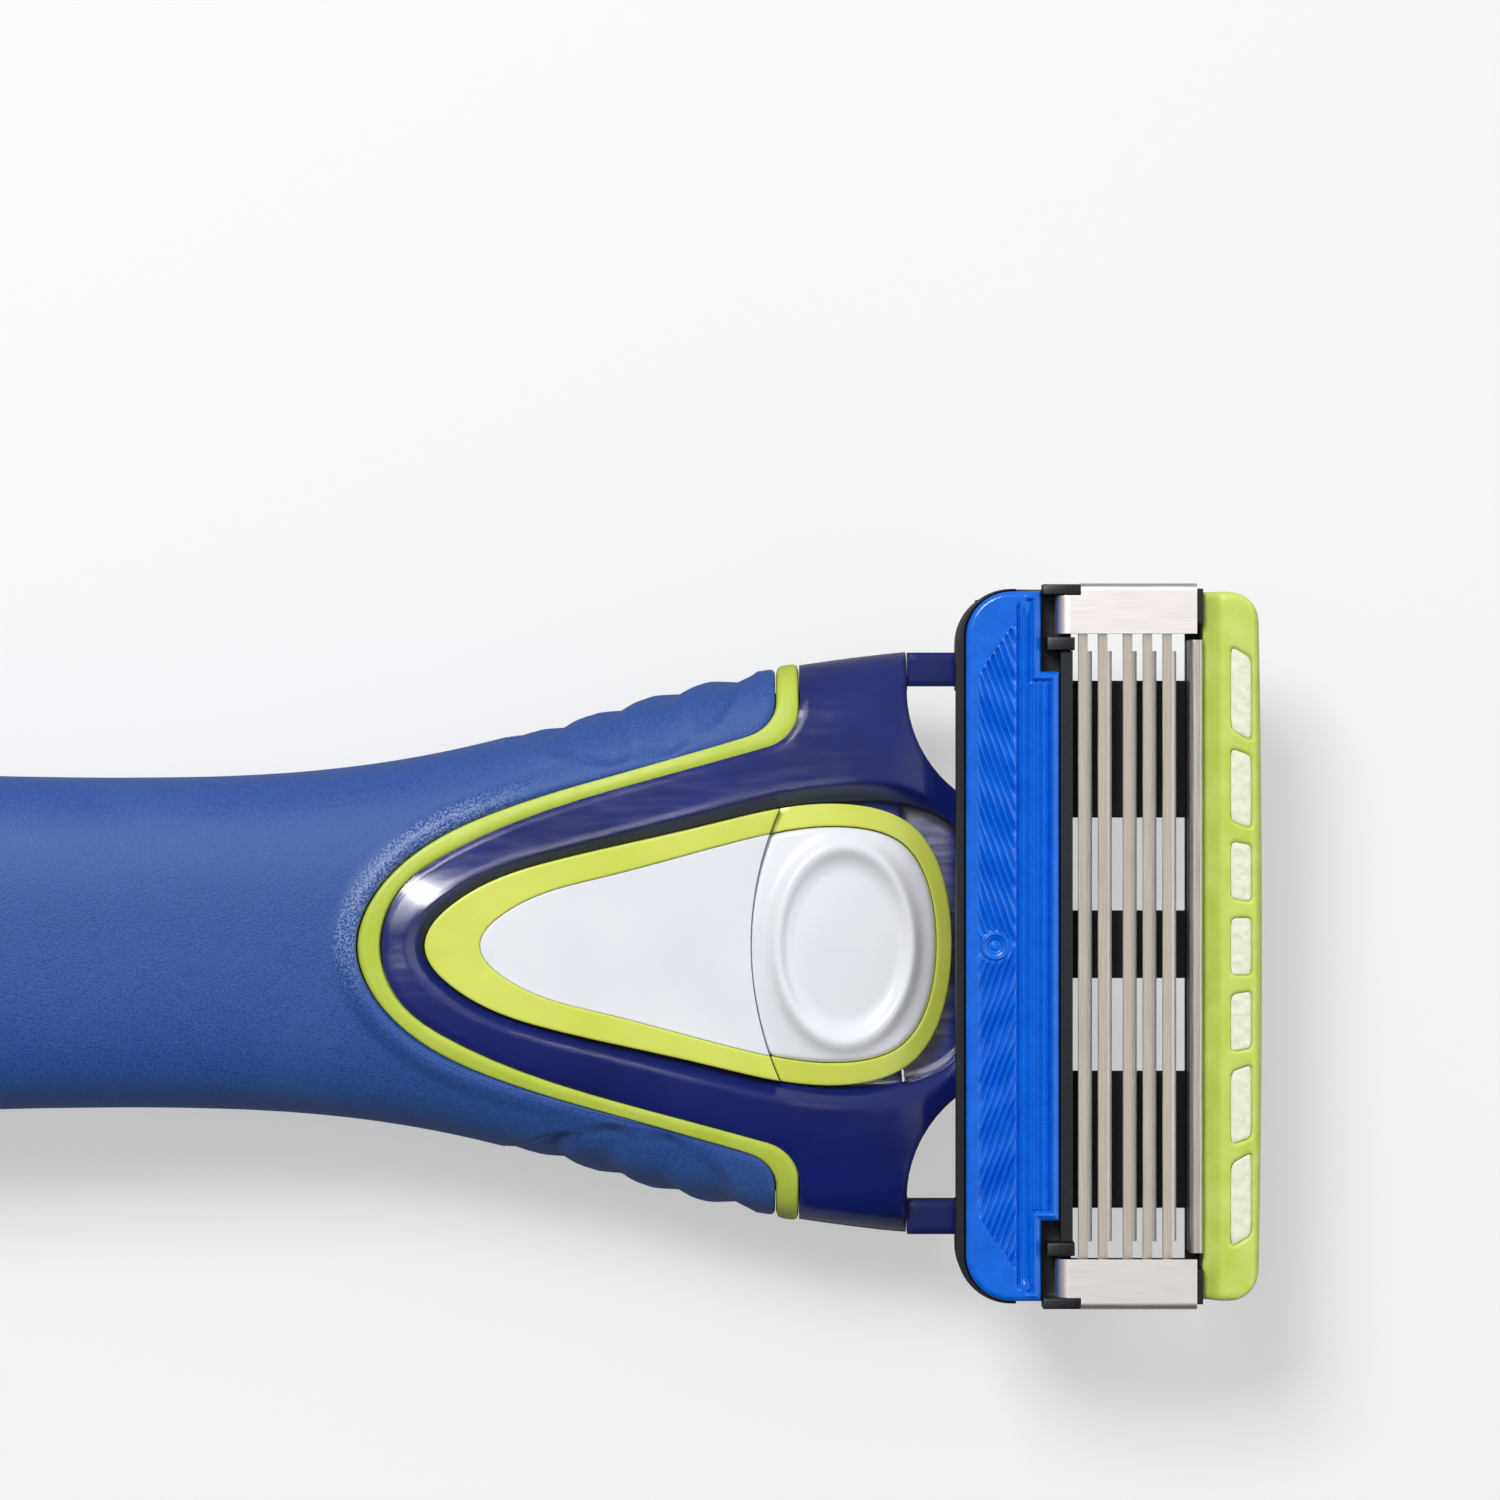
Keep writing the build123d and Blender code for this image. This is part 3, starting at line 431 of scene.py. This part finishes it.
def skin_points(x, radius, angle):
    """Points at some radius round the handle's axis."""
    return np.stack([x, radius * np.cos(angle), AXIS_Z + radius * np.sin(angle)], axis=-1)


def edge_loop(tree, count):
    """Angles and x of an edge round the handle, evenly spaced along it from the underside's middle."""
    step_back = 0.3 * MM
    angles = np.linspace(-TURN / 4, 3 * TURN / 4, 1441)
    edge = np.array([front_edge(tree, angle) for angle in angles])
    edge = (edge + edge[::-1]) / 2
    radius = np.array([radius_at(skin_tree, x - step_back, angle) for x, angle in zip(edge, angles)])
    points = skin_points(edge, radius, angles)
    along = np.concatenate([[0], np.cumsum(np.linalg.norm(np.diff(points, axis=0), axis=1))])
    even = np.linspace(0, along[-1], count + 1)[:-1]
    return np.interp(even, along, angles), np.interp(even, along, edge)


def cast_radii(x, angle):
    """Outer radius of the handle at each point of a grid."""
    flat = [radius_at(skin_tree, a, b) for a, b in zip(x.ravel(), angle.ravel())]
    return np.array(flat).reshape(x.shape)


def evened_skin(values, passes):
    """Grid values evened out both ways, with the first and last rows kept in place."""
    for _ in range(passes):
        values = evened_round(values)
        inner = (values[:-2] + 2 * values[1:-1] + values[2:]) / 4
        values = np.concatenate([values[:1], inner, values[-1:]])
    return values


def side_ridges(x, angle):
    """Moulded scallops on both sides of the grip, as a depth below its skin."""
    middle_x, half_length, first_x, pitch = 35.2, 7.6, 28.7, 3.35
    half_angle, soft_angle = np.radians(25), np.radians(5)
    steep_share, shallow, deep = 0.38, 0.12, 0.54
    tilt = np.abs(np.arctan2(np.sin(angle), np.abs(np.cos(angle))))
    reach = half_angle * np.sqrt(np.clip(1 - ((x / MM - middle_x) / half_length) ** 2, 0, 1))
    inside = smoothstep((reach - tilt) / soft_angle)
    wander = 0.35 * np.sin(5 * tilt / half_angle) + 0.9 * (tilt / half_angle) ** 2
    crest = wave((x / MM - first_x) / pitch + wander, steep_share)
    crest = 0.75 * crest + 0.25 * smoothstep(crest)
    return inside * (deep - (deep - shallow) * crest) * MM


def grip_rows(shares, rear, angles, edge):
    """Grid at some shares of the way from the grip's rear to the trim: x, angles and outer radii."""
    x = rear + shares[:, None] * (edge - rear)
    angle = np.repeat(angles[None, :], len(shares), axis=0)
    return x, angle, cast_radii(np.minimum(x, edge - CLOSE), angle)


def gap_to_last_row(points):
    """Distance of every point of a grid from the grid's last row."""
    rim = KDTree(points.shape[1])
    for index, point in enumerate(points[-1]):
        rim.insert(point, index)
    rim.balance()
    gap = [rim.find(point)[2] for point in points.reshape(-1, 3)]
    return np.array(gap).reshape(points.shape[:2])


def build_grip():
    """Rubber grip: a closed quad skin from the tail ring to the trim, with a lip and rolled ends."""
    columns, rows, inner_rows = 460, 270, 12
    wall, roll, lip_height = 1.25 * MM, 0.35 * MM, 0.36 * MM
    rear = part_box("grip")[0].x
    angles, edge = edge_loop(grip_tree, columns)
    # The rows lie closer together towards the trim.
    shares = 1 - (1 - np.linspace(0, 1, rows)) ** 1.7
    x, angle, radius = grip_rows(shares, rear, angles, edge)
    radius = evened_skin(radius, 8)
    points = skin_points(x, radius, angle)
    gap = gap_to_last_row(points)
    on_top = smoothstep((np.sin(angle) - 0.25) / 0.4)
    lip = lip_height * on_top * smoothstep((1.7 * MM - gap) / (1.3 * MM))
    radius = radius + lip - rolled_edge(gap, roll, roll) - rolled_edge(x - rear, roll, roll)
    radius = radius - side_ridges(x, angle)
    inner_x, inner_angle, inner_radius = grip_rows(np.linspace(1, 0, inner_rows), rear, angles, edge)
    x = np.concatenate([x, inner_x])
    angle = np.concatenate([angle, inner_angle])
    radius = np.concatenate([radius, inner_radius - wall])
    faces = grid_faces(*x.shape, close_rows=True, close_columns=True)
    skin = skin_points(x, radius, angle).reshape(-1, 3)
    piece = new_piece("grip_skin", skin, faces, finishes["grip_rubber"])
    # Painted highlight: round its tip the lip gets lighter, sparkling colour and lower roughness, mostly on
    # the +Y side where the light falls.
    around_tip = smoothstep((31.5 - points[..., 0] / MM) / 6) * smoothstep((points[..., 1] / MM + 4) / 5)
    painted_glint = np.zeros(x.shape)
    painted_glint[:rows] = on_top * smoothstep((1.5 * MM - gap) / (0.5 * MM)) * around_tip
    piece.data.attributes.new("lip", "FLOAT", "POINT").data.foreach_set("value", painted_glint.ravel())
    attach(piece, "handle", "grip_rubber", "grip")


def build_trim():
    """Lime band between rubber and shell: a bead that runs once round the handle."""
    columns, rows, margin = 640, 15, 0.04
    sunk, bead_height, skirt = 0.3 * MM, 0.42 * MM, 0.8 * MM
    rear_angle, rear_x = edge_loop(grip_tree, columns)
    front_angle, front_x = edge_loop(soft_tree, columns)
    across = np.linspace(0, 1, rows)
    share = (margin + (1 - 2 * margin) * across)[:, None]
    x = rear_x + share * (front_x - rear_x)
    angle = rear_angle + share * (front_angle - rear_angle)
    radius = cast_radii(x, angle)
    for _ in range(10):
        radius = evened_round(radius)
    bead = np.sqrt(1 - np.abs(2 * across - 1) ** 4)
    radius = radius + (bead_height * bead - sunk)[:, None]
    # Both edges go on down into the groove.
    ends = [-1, 0]
    x = np.concatenate([x, x[ends]])
    angle = np.concatenate([angle, angle[ends]])
    radius = np.concatenate([radius, radius[ends] - skirt])
    faces = grid_faces(*x.shape, close_rows=True, close_columns=True)
    band = skin_points(x, radius, angle).reshape(-1, 3)
    piece = new_piece("trim_bead", band, faces, finishes["lime_soft"])
    attach(piece, "handle", "lime_soft", "accent_trim")


build_grip()
build_trim()


# ---------------------------------------------------------------- button
# The raised ring is an oval round this x, with these half-sizes along X and Y.
RING_X = 48.0 * MM
RING_HALF_X, RING_HALF_Y = 4.05 * MM, 5.83 * MM


def top_at(tree, x, y):
    """Height of a tree's top surface at a place, or None beside it."""
    hit = tree.ray_cast(Vector((x, y, REACH)), Vector((0, 0, -1)))
    return hit[0].z if hit[0] else None


def button_radius(tree, turn):
    """Distance from the ring's centre to the button's outline, in one direction."""
    def on_the_button(distance):
        return top_at(tree, RING_X + distance * math.cos(turn), distance * math.sin(turn)) is not None

    return last_place(3 * MM, 9 * MM, on_the_button)


def crown_terms(x, y):
    """Terms of the crown's height, which is the same on both sides of the mid-plane."""
    unit = 5 * MM
    u, v = (x - RING_X) / unit, y / unit
    return np.stack([np.ones_like(u), u, u**2, u**3, u**4, v**2, v**2 * u, v**4], axis=-1)


def crown_weights():
    """Smooth fit of the crown through what lies outside the ring, on the button and its bezel."""
    clear_x, clear_y, beside, lowest = 4.75 * MM, 6.55 * MM, 0.5 * MM, 10 * MM
    tree = surface_tree("button_cap", "button_bezel")
    low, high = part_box("button_cap")
    samples = []
    for x in np.linspace(low.x, high.x + beside, 45):
        for y in np.linspace(0, high.y + beside, 30):
            outside = ((x - RING_X) / clear_x) ** 2 + (y / clear_y) ** 2 > 1
            z = top_at(tree, x, y) if outside else None
            if z is not None and z > lowest:
                samples.append((x, y, z))
    x, y, z = np.array(samples).T
    return np.linalg.lstsq(crown_terms(x, y), z, rcond=None)[0]


def button_floor(x):
    """Height of the button's underside: a sloped seat, and a lower step under the nose."""
    seat_x, seat_z, slope = 42.4 * MM, 10.76 * MM, math.tan(math.radians(3.5))
    nose_x, nose_z = 51.8 * MM, 9.3 * MM
    return np.where(x < nose_x, seat_z - (x - seat_x) * slope, nose_z)


def build_button():
    """White button: crowned top, raised oval ring with a dished middle and a rounded rim."""
    columns, rings = 240, 70
    ring_height, dish_depth, clearance = 0.36 * MM, 0.34 * MM, 0.02 * MM
    tree = surface_tree("button_cap")
    weights = crown_weights()
    turns = np.linspace(0, TURN, columns, endpoint=False)
    rim = evened_round(np.array([button_radius(tree, turn) for turn in turns])) - clearance
    # The rings of points lie closer together towards the rim.
    distance = (np.linspace(0, 1, rings + 1)[1:] ** 0.85)[:, None] * rim
    x = RING_X + distance * np.cos(turns)
    y = distance * np.sin(turns)
    oval = np.sqrt(((x - RING_X) / RING_HALF_X) ** 2 + (y / RING_HALF_Y) ** 2)
    ridge = ring_height * bump(oval - 1, 0.105)
    dish = dish_depth * smoothstep((0.98 - oval) / 0.26)
    rounding = rolled_edge(rim - distance, 0.3 * MM, 0.22 * MM)
    z = crown_terms(x, y) @ weights + ridge - dish - rounding
    points = np.stack([x, y, z], axis=-1).reshape(-1, 3)
    skirt = np.stack([x[-1], y[-1], np.minimum(button_floor(x[-1]), z[-1] - 0.1 * MM)], axis=-1)
    middles = [(RING_X, 0, weights[0] - dish_depth), (RING_X, 0, 10.4 * MM)]
    points = np.concatenate([points, skirt, middles])
    faces = grid_faces(rings + 1, columns, close_columns=True)
    top_middle, low_middle = len(points) - 2, len(points) - 1
    last = rings * columns
    for column in range(columns):
        beside = (column + 1) % columns
        faces.append((top_middle, beside, column))
        faces.append((low_middle, last + column, last + beside))
    piece = new_piece("button_crown", points, [face[::-1] for face in faces], finishes["white_gloss"])
    attach(piece, "eject_button", "white_gloss", "button_cap")


build_button()


# ---------------------------------------------------------------- guard strip
# In this section and the next, u is x, side is y and v its distance from the mid-plane, all in
# plain millimetres. Behind the notches the guard is wide; between them it goes on as a tongue.
GUARD_CORNER = 2.7
NOTCH_X, NOTCH_Y = 59.45, 16.1
FINS_REAR, FINS_FRONT, GROOVE_X, RIBS_REAR = 55.6, 58.0, 58.12, 58.2


def guard_grid(rear, front, half):
    """Grid over the guard, with its rounded rear corners, and which cells lie inside its outline."""
    to_notch, past_notch = 150, 16
    y_half = np.concatenate([np.linspace(0, NOTCH_Y, 400), np.linspace(NOTCH_Y, half, 130)[1:]])
    y = np.concatenate([-y_half[::-1], y_half[1:]])
    beyond = np.clip(np.abs(y) - (half - GUARD_CORNER), 0, GUARD_CORNER)
    x_rear = (rear + GUARD_CORNER - np.sqrt(GUARD_CORNER**2 - beyond**2))[:, None]
    wide = x_rear + np.linspace(0, 1, to_notch) * (NOTCH_X - x_rear)
    tongue = np.repeat(np.linspace(NOTCH_X, front, past_notch)[None, 1:], len(y), axis=0)
    u = np.concatenate([wide, tongue], axis=1)
    side = np.repeat(y[:, None], u.shape[1], axis=1)
    past_ends = np.abs(y[:-1] + y[1:]) / 2 > NOTCH_Y
    in_tongue = np.arange(u.shape[1] - 1) >= to_notch - 1
    return u, side, ~(past_ends[:, None] & in_tongue)


def guard_rim(u, v, rear, front, half):
    """Distance in from the guard's outline."""
    over_x = np.clip(rear + GUARD_CORNER - u, 0, None)
    over_y = np.clip(v - half + GUARD_CORNER, 0, None)
    wide = np.minimum(np.minimum(GUARD_CORNER - np.hypot(over_x, over_y), NOTCH_X - u), half - v)
    tongue = np.minimum(np.minimum(front - u, NOTCH_Y - v), u - rear)
    return np.clip(np.maximum(wide, tongue), 0, None)


def fin_relief(u, v):
    """Fine fins that lean outwards from the middle and stop at a smooth leaf-shaped land at each end."""
    lean, pitch, height, sunk = math.tan(math.radians(20)), 0.4, 0.3, 0.2
    land = 19.1 - 1.25 * np.clip(58.05 - u, 0, 3) ** 1.15
    here = smoothstep((u - FINS_REAR) / 0.5) * smoothstep((FINS_FRONT - u) / 0.15)
    here = here * smoothstep((land - v) / 0.25)
    swell = 0.8 + 0.2 * np.sin(2.1 * v + 1.3 * u)
    return here * swell * (height * wave((u + v * lean) / pitch, 0.3) - sunk)


def rib_relief(u, v, rim):
    """A groove in front of the fins, long ribs, and a bead along the front outline and the notches."""
    groove = 0.25 * bump(u - GROOVE_X, 0.09) * smoothstep((20.2 - v) / 0.4)
    here = smoothstep((u - RIBS_REAR) / 0.1) * smoothstep((rim - 0.55) / 0.15)
    here = here * smoothstep((19.9 - v) / 0.5)
    ribs = here * (0.2 * wave((u - 58.42) / 0.4, 0.5) ** 1.5 - 0.14)
    bead = 0.1 * bump(rim - 0.36, 0.1) - 0.16 * bump(rim - 0.58, 0.07)
    return ribs - groove + bead * smoothstep((u - 58.5) / 0.2)


def with_gate_mark(z, distance):
    """Relief with a shallow round mark: a raised lip, a dimple and a pip in the middle."""
    flat = smoothstep((1.05 - distance) / 0.2)
    lip = 0.14 * bump(distance - 0.72, 0.1)
    dimple = 0.14 * smoothstep((0.5 - distance) / 0.12) - 0.1 * smoothstep((0.25 - distance) / 0.1)
    return z * (1 - flat) + flat * (lip - dimple - 0.1)


def build_guard():
    """Blue guard: rounded rim, chevron of fine fins, a groove, long ribs, and a gate mark."""
    mark_x, roll, headroom, footroom = 56.75, 0.35, 0.08, 0.02
    low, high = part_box("guard_strip")
    rear, front, half = low.x / MM, high.x / MM, high.y / MM
    u, side, inside = guard_grid(rear, front, half)
    v = np.abs(side)
    rim = guard_rim(u, v, rear, front, half)
    z = fin_relief(u, v) + rib_relief(u, v, rim) - rolled_edge(rim, roll, roll)
    z = with_gate_mark(z, np.hypot(u - mark_x, side))
    top = np.stack([u * MM, side * MM, high.z + (z - headroom) * MM], axis=-1)
    piece = plate("guard_fins", top, inside, low.z + footroom * MM, finishes["blue_elastomer"])
    attach(piece, "cartridge", "blue_elastomer", "guard_strip")


build_guard()


# ---------------------------------------------------------------- cap and lubricating pads
# Windows lie in a row at one x. Each span is a window's middle and half length on one side, and the
# windows slant more the further out they are.
WINDOW_X, WINDOW_HALF_X, WINDOW_CORNER, WINDOW_SLANT = 71.15, 0.65, 0.35, 0.025
WINDOW_SPANS = ((0.0, 1.73), (4.38, 1.73), (9.25, 2.2), (14.8, 2.5))
# The middle window is its own mirror image, so one of its two copies is dropped.
windows = [(side * middle, half) for middle, half in WINDOW_SPANS for side in (1, -1)][1:]


def window_place(a, b, middle, half):
    """Point of a window from shares across and along it."""
    return WINDOW_X + WINDOW_HALF_X * a, middle + half * b - WINDOW_SLANT * middle * a


def inside_window(u, side, middle, half):
    """Distance in from a window's rounded outline, below zero outside."""
    straight = side + WINDOW_SLANT * middle * (u - WINDOW_X) / WINDOW_HALF_X
    over_x = np.abs(u - WINDOW_X) - WINDOW_HALF_X + WINDOW_CORNER
    over_y = np.abs(straight - middle) - half + WINDOW_CORNER
    outside = np.hypot(np.clip(over_x, 0, None), np.clip(over_y, 0, None))
    return WINDOW_CORNER - outside - np.minimum(np.maximum(over_x, over_y), 0)


def build_cap():
    """Lime cap: a valley beside the rail, a broad hump, a rolled front edge, and a pocket for each pad."""
    rows, columns = 760, 64
    bow, corner, roll, headroom, footroom = 0.3, 1.8, 0.45, 0.02, 0.05
    valley_depth, crest_x, fall_depth, pocket_depth = 0.75, 71.7, 0.95, 0.35
    low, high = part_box("cap_cover")
    rear, front, half = low.x / MM, high.x / MM, high.y / MM
    y = np.linspace(-half, half, rows)
    beyond = np.clip(np.abs(y) - (half - corner), 0, corner)
    edge = front - bow * (y / half) ** 2 - (corner - np.sqrt(corner**2 - beyond**2))
    u = rear + np.linspace(0, 1, columns) * (edge - rear)[:, None]
    side = np.repeat(y[:, None], columns, axis=1)
    valley = valley_depth * (1 - smoothstep(u - rear - 0.15))
    fall = fall_depth * np.clip((u - crest_x) / (front - crest_x), 0, 1) ** 2.2
    rim = np.minimum(edge[:, None] - u, half - np.abs(side))
    pockets = np.zeros_like(u)
    for middle, length in windows:
        pockets = np.maximum(pockets, smoothstep((inside_window(u, side, middle, length) + 0.05) / 0.16))
    z = -valley - fall - rolled_edge(rim, roll, roll) - pocket_depth * pockets
    top = np.stack([u * MM, side * MM, high.z + (z - headroom) * MM], axis=-1)
    inside = np.ones((rows - 1, columns - 1), dtype=bool)
    piece = plate("cap_shell", top, inside, low.z + footroom * MM, finishes["cap_lime"])
    attach(piece, "cartridge", "cap_lime", "cap_cover")


def pad_top(cells, middle, half, face_z):
    """Grid of points over one pad: crowned, uneven, and a little below the cap's face."""
    points = []
    for row in range(cells + 1):
        for column in range(cells + 1):
            a, b = 2 * column / cells - 1, 2 * row / cells - 1
            # A square grid is drawn into a rounded outline.
            squeeze = 1 - 0.13 * (abs(a) * abs(b)) ** 6
            x, y = window_place(0.97 * a * squeeze, b * squeeze, middle, half - 0.02)
            crown = (1 - abs(a) ** 6) * (1 - abs(b) ** 20)
            coarse = noise.noise(Vector((x, y, 0)) / 0.55) * 0.05
            fine = noise.noise(Vector((x, y, 1)) / 0.18) * 0.02
            rise = -0.25 + 0.27 * max(crown, 0) ** 0.4 + (coarse + fine) * crown
            points.append((x * MM, y * MM, face_z + rise * MM))
    return points


def build_pads():
    """White pads in the cap's pockets, each with a flat underside."""
    cells, depth = 48, 0.75 * MM
    face_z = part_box("lube_strip")[1].z
    side = cells + 1
    ring = list(range(side)) + [row * side + cells for row in range(1, side)]
    ring += [cells * side + column for column in range(cells - 1, -1, -1)]
    ring += [row * side for row in range(cells - 1, 0, -1)]
    points, faces = [], []
    for middle, half in windows:
        first = len(points)
        points += pad_top(cells, middle, half, face_z)
        faces += grid_faces(side, side, start=first)
        base = len(points)
        for index in ring:
            x, y, _ = points[first + index]
            points.append((x, y, face_z - depth))
        for place, index in enumerate(ring):
            after = (place + 1) % len(ring)
            faces.append((first + ring[after], first + index, base + place, base + after))
        faces.append([base + place for place in range(len(ring) - 1, -1, -1)])
    piece = new_piece("lube_pads", points, faces, finishes["lube_white"])
    attach(piece, "cartridge", "lube_white", "lube_strip")


build_cap()
build_pads()


# ---------------------------------------------------------------- springs
def build_spring(name, node, wire):
    """Compression spring along X with closed ends."""
    turns, steps_per_turn, sides, closed_share = 6, 40, 12, 0.09
    low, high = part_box(node)
    coil = (high.y - low.y) / 2 - wire
    axis_z = (low.z + high.z) / 2
    start, end = low.x + wire, high.x - wire
    steps = turns * steps_per_turn
    points = []
    for step in range(steps + 1):
        t = step / steps
        rise = np.clip((t - closed_share) / (1 - 2 * closed_share), 0, 1)
        along = float(smoothstep(rise) * 0.25 + rise * 0.75)
        turn = TURN * turns * t
        out = Vector((0, math.sin(turn), math.cos(turn)))
        centre = Vector((start + (end - start) * along, 0, axis_z)) + coil * out
        for side in range(sides):
            around = TURN * side / sides
            points.append(centre + wire * (out * math.cos(around) + Vector((1, 0, 0)) * math.sin(around)))
    faces = grid_faces(steps + 1, sides, close_columns=True)
    faces.append(list(range(sides - 1, -1, -1)))
    faces.append([steps * sides + side for side in range(sides)])
    piece = new_piece(name, points, faces, finishes["spring_steel"])
    attach(piece, "handle", "spring_steel", node)
    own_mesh(piece)


build_spring("return_coil", "button_return_spring", 0.175 * MM)
build_spring("plunger_coil", "plunger_spring", 0.15 * MM)


# ---------------------------------------------------------------- stage, light and camera
def build_stage():
    """Pale floor: it glows faintly towards the camera, so that shadows on it stay soft."""
    size = 1.5
    corners = [(-size, -size, 0), (size, -size, 0), (size, size, 0), (-size, size, 0)]
    finish = Finish("floor_paper", Roughness=0.9, Emission_Color=srgb(247, 247, 247))
    camera_ray = finish.tree.nodes.new("ShaderNodeLightPath").outputs["Is Camera Ray"]
    finish.set(Base_Color=finish.mix(camera_ray, srgb(140, 141, 143), srgb(178, 178, 179)))
    finish.set(Emission_Strength=finish.span(camera_ray, 0, 1, 0, 0.5))
    floor = new_piece("floor", corners, [(0, 1, 2, 3)], finish.material, smooth=False)


def area_light(name, place, target, size, power):
    """Softbox of some width and height, aimed at a point."""
    data = bpy.data.lights.new(name, "AREA")
    data.shape = "RECTANGLE"
    data.size, data.size_y = size
    data.energy = power
    light = bpy.data.objects.new(name, data)
    light.location = place
    light.rotation_euler = (Vector(target) - Vector(place)).to_track_quat("-Z", "Y").to_euler()
    bpy.context.scene.collection.objects.link(light)
    return light


def reflector(name, place, size, power, nodes):
    """Softbox straight above, which shows only as a reflection and only in some CAD nodes."""
    below = (place[0], place[1], 0)
    light = area_light(name, place, below, size, power)
    light.visible_diffuse = False
    receivers = bpy.data.collections.new(name)
    for node in nodes:
        receivers.objects.link(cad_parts[node])
    light.light_linking.receiver_collection = receivers


def build_lights():
    """Key light high on the +Y side, a bright line for the shell's rim, and a sheet for bare metal."""
    area_light("key", (-0.18, 0.38, 0.62), (30 * MM, 0, 10 * MM), (0.26, 0.26), 4.5)
    reflector("rim_line", (0.05, 0.06, 0.76), (0.2, 0.03), 1.2, ["upper_housing"])
    metal = [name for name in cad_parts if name.startswith(("clip_", "blade_support_", "cap_rail"))]
    reflector("metal_sheet", (0.05, 0, 0.9), (0.8, 0.8), 1.1, metal)


def build_world():
    """Soft surroundings: bright on the +Y side and past the razor's head, dim on the -Y side."""
    world = bpy.data.worlds.new("surroundings")
    bpy.context.scene.world = world
    world.use_nodes = True
    tree = world.node_tree
    direction = tree.nodes.new("ShaderNodeTexCoord").outputs["Generated"]
    split = tree.nodes.new("ShaderNodeSeparateXYZ")
    tree.links.new(direction, split.inputs[0])

    def ramp(axis, low, high, to_low, to_high):
        added = tree.nodes.new("ShaderNodeMapRange")
        added.interpolation_type = "SMOOTHSTEP"
        for name, value in (("From Min", low), ("From Max", high), ("To Min", to_low), ("To Max", to_high)):
            added.inputs[name].default_value = value
        tree.links.new(split.outputs[axis], added.inputs["Value"])
        return added.outputs["Result"]

    total = tree.nodes.new("ShaderNodeMath")
    total.operation = "ADD"
    tree.links.new(ramp("Y", -0.6, 0.15, 0.02, 0.36), total.inputs[0])
    tree.links.new(ramp("X", 0.35, 0.8, 0.0, 1.0), total.inputs[1])
    background = tree.nodes["Background"]
    tree.links.new(total.outputs["Value"], background.inputs["Strength"])
    background.inputs["Color"].default_value = (0.97, 0.985, 1.0, 1.0)


def build_camera():
    """Camera straight above the razor's face."""
    view_width, distance, face_z = 87.8 * MM, 270 * MM, 14 * MM
    data = bpy.data.cameras.new("camera")
    data.sensor_width = 36.0
    data.lens = data.sensor_width * distance / view_width
    data.clip_start = 0.01
    camera = bpy.data.objects.new("camera", data)
    camera.location = (42.4 * MM, 11.5 * MM, face_z + distance)
    bpy.context.scene.collection.objects.link(camera)
    bpy.context.scene.camera = camera


build_stage()
build_world()
build_lights()
build_camera()
bpy.context.scene.view_settings.view_transform = "Standard"
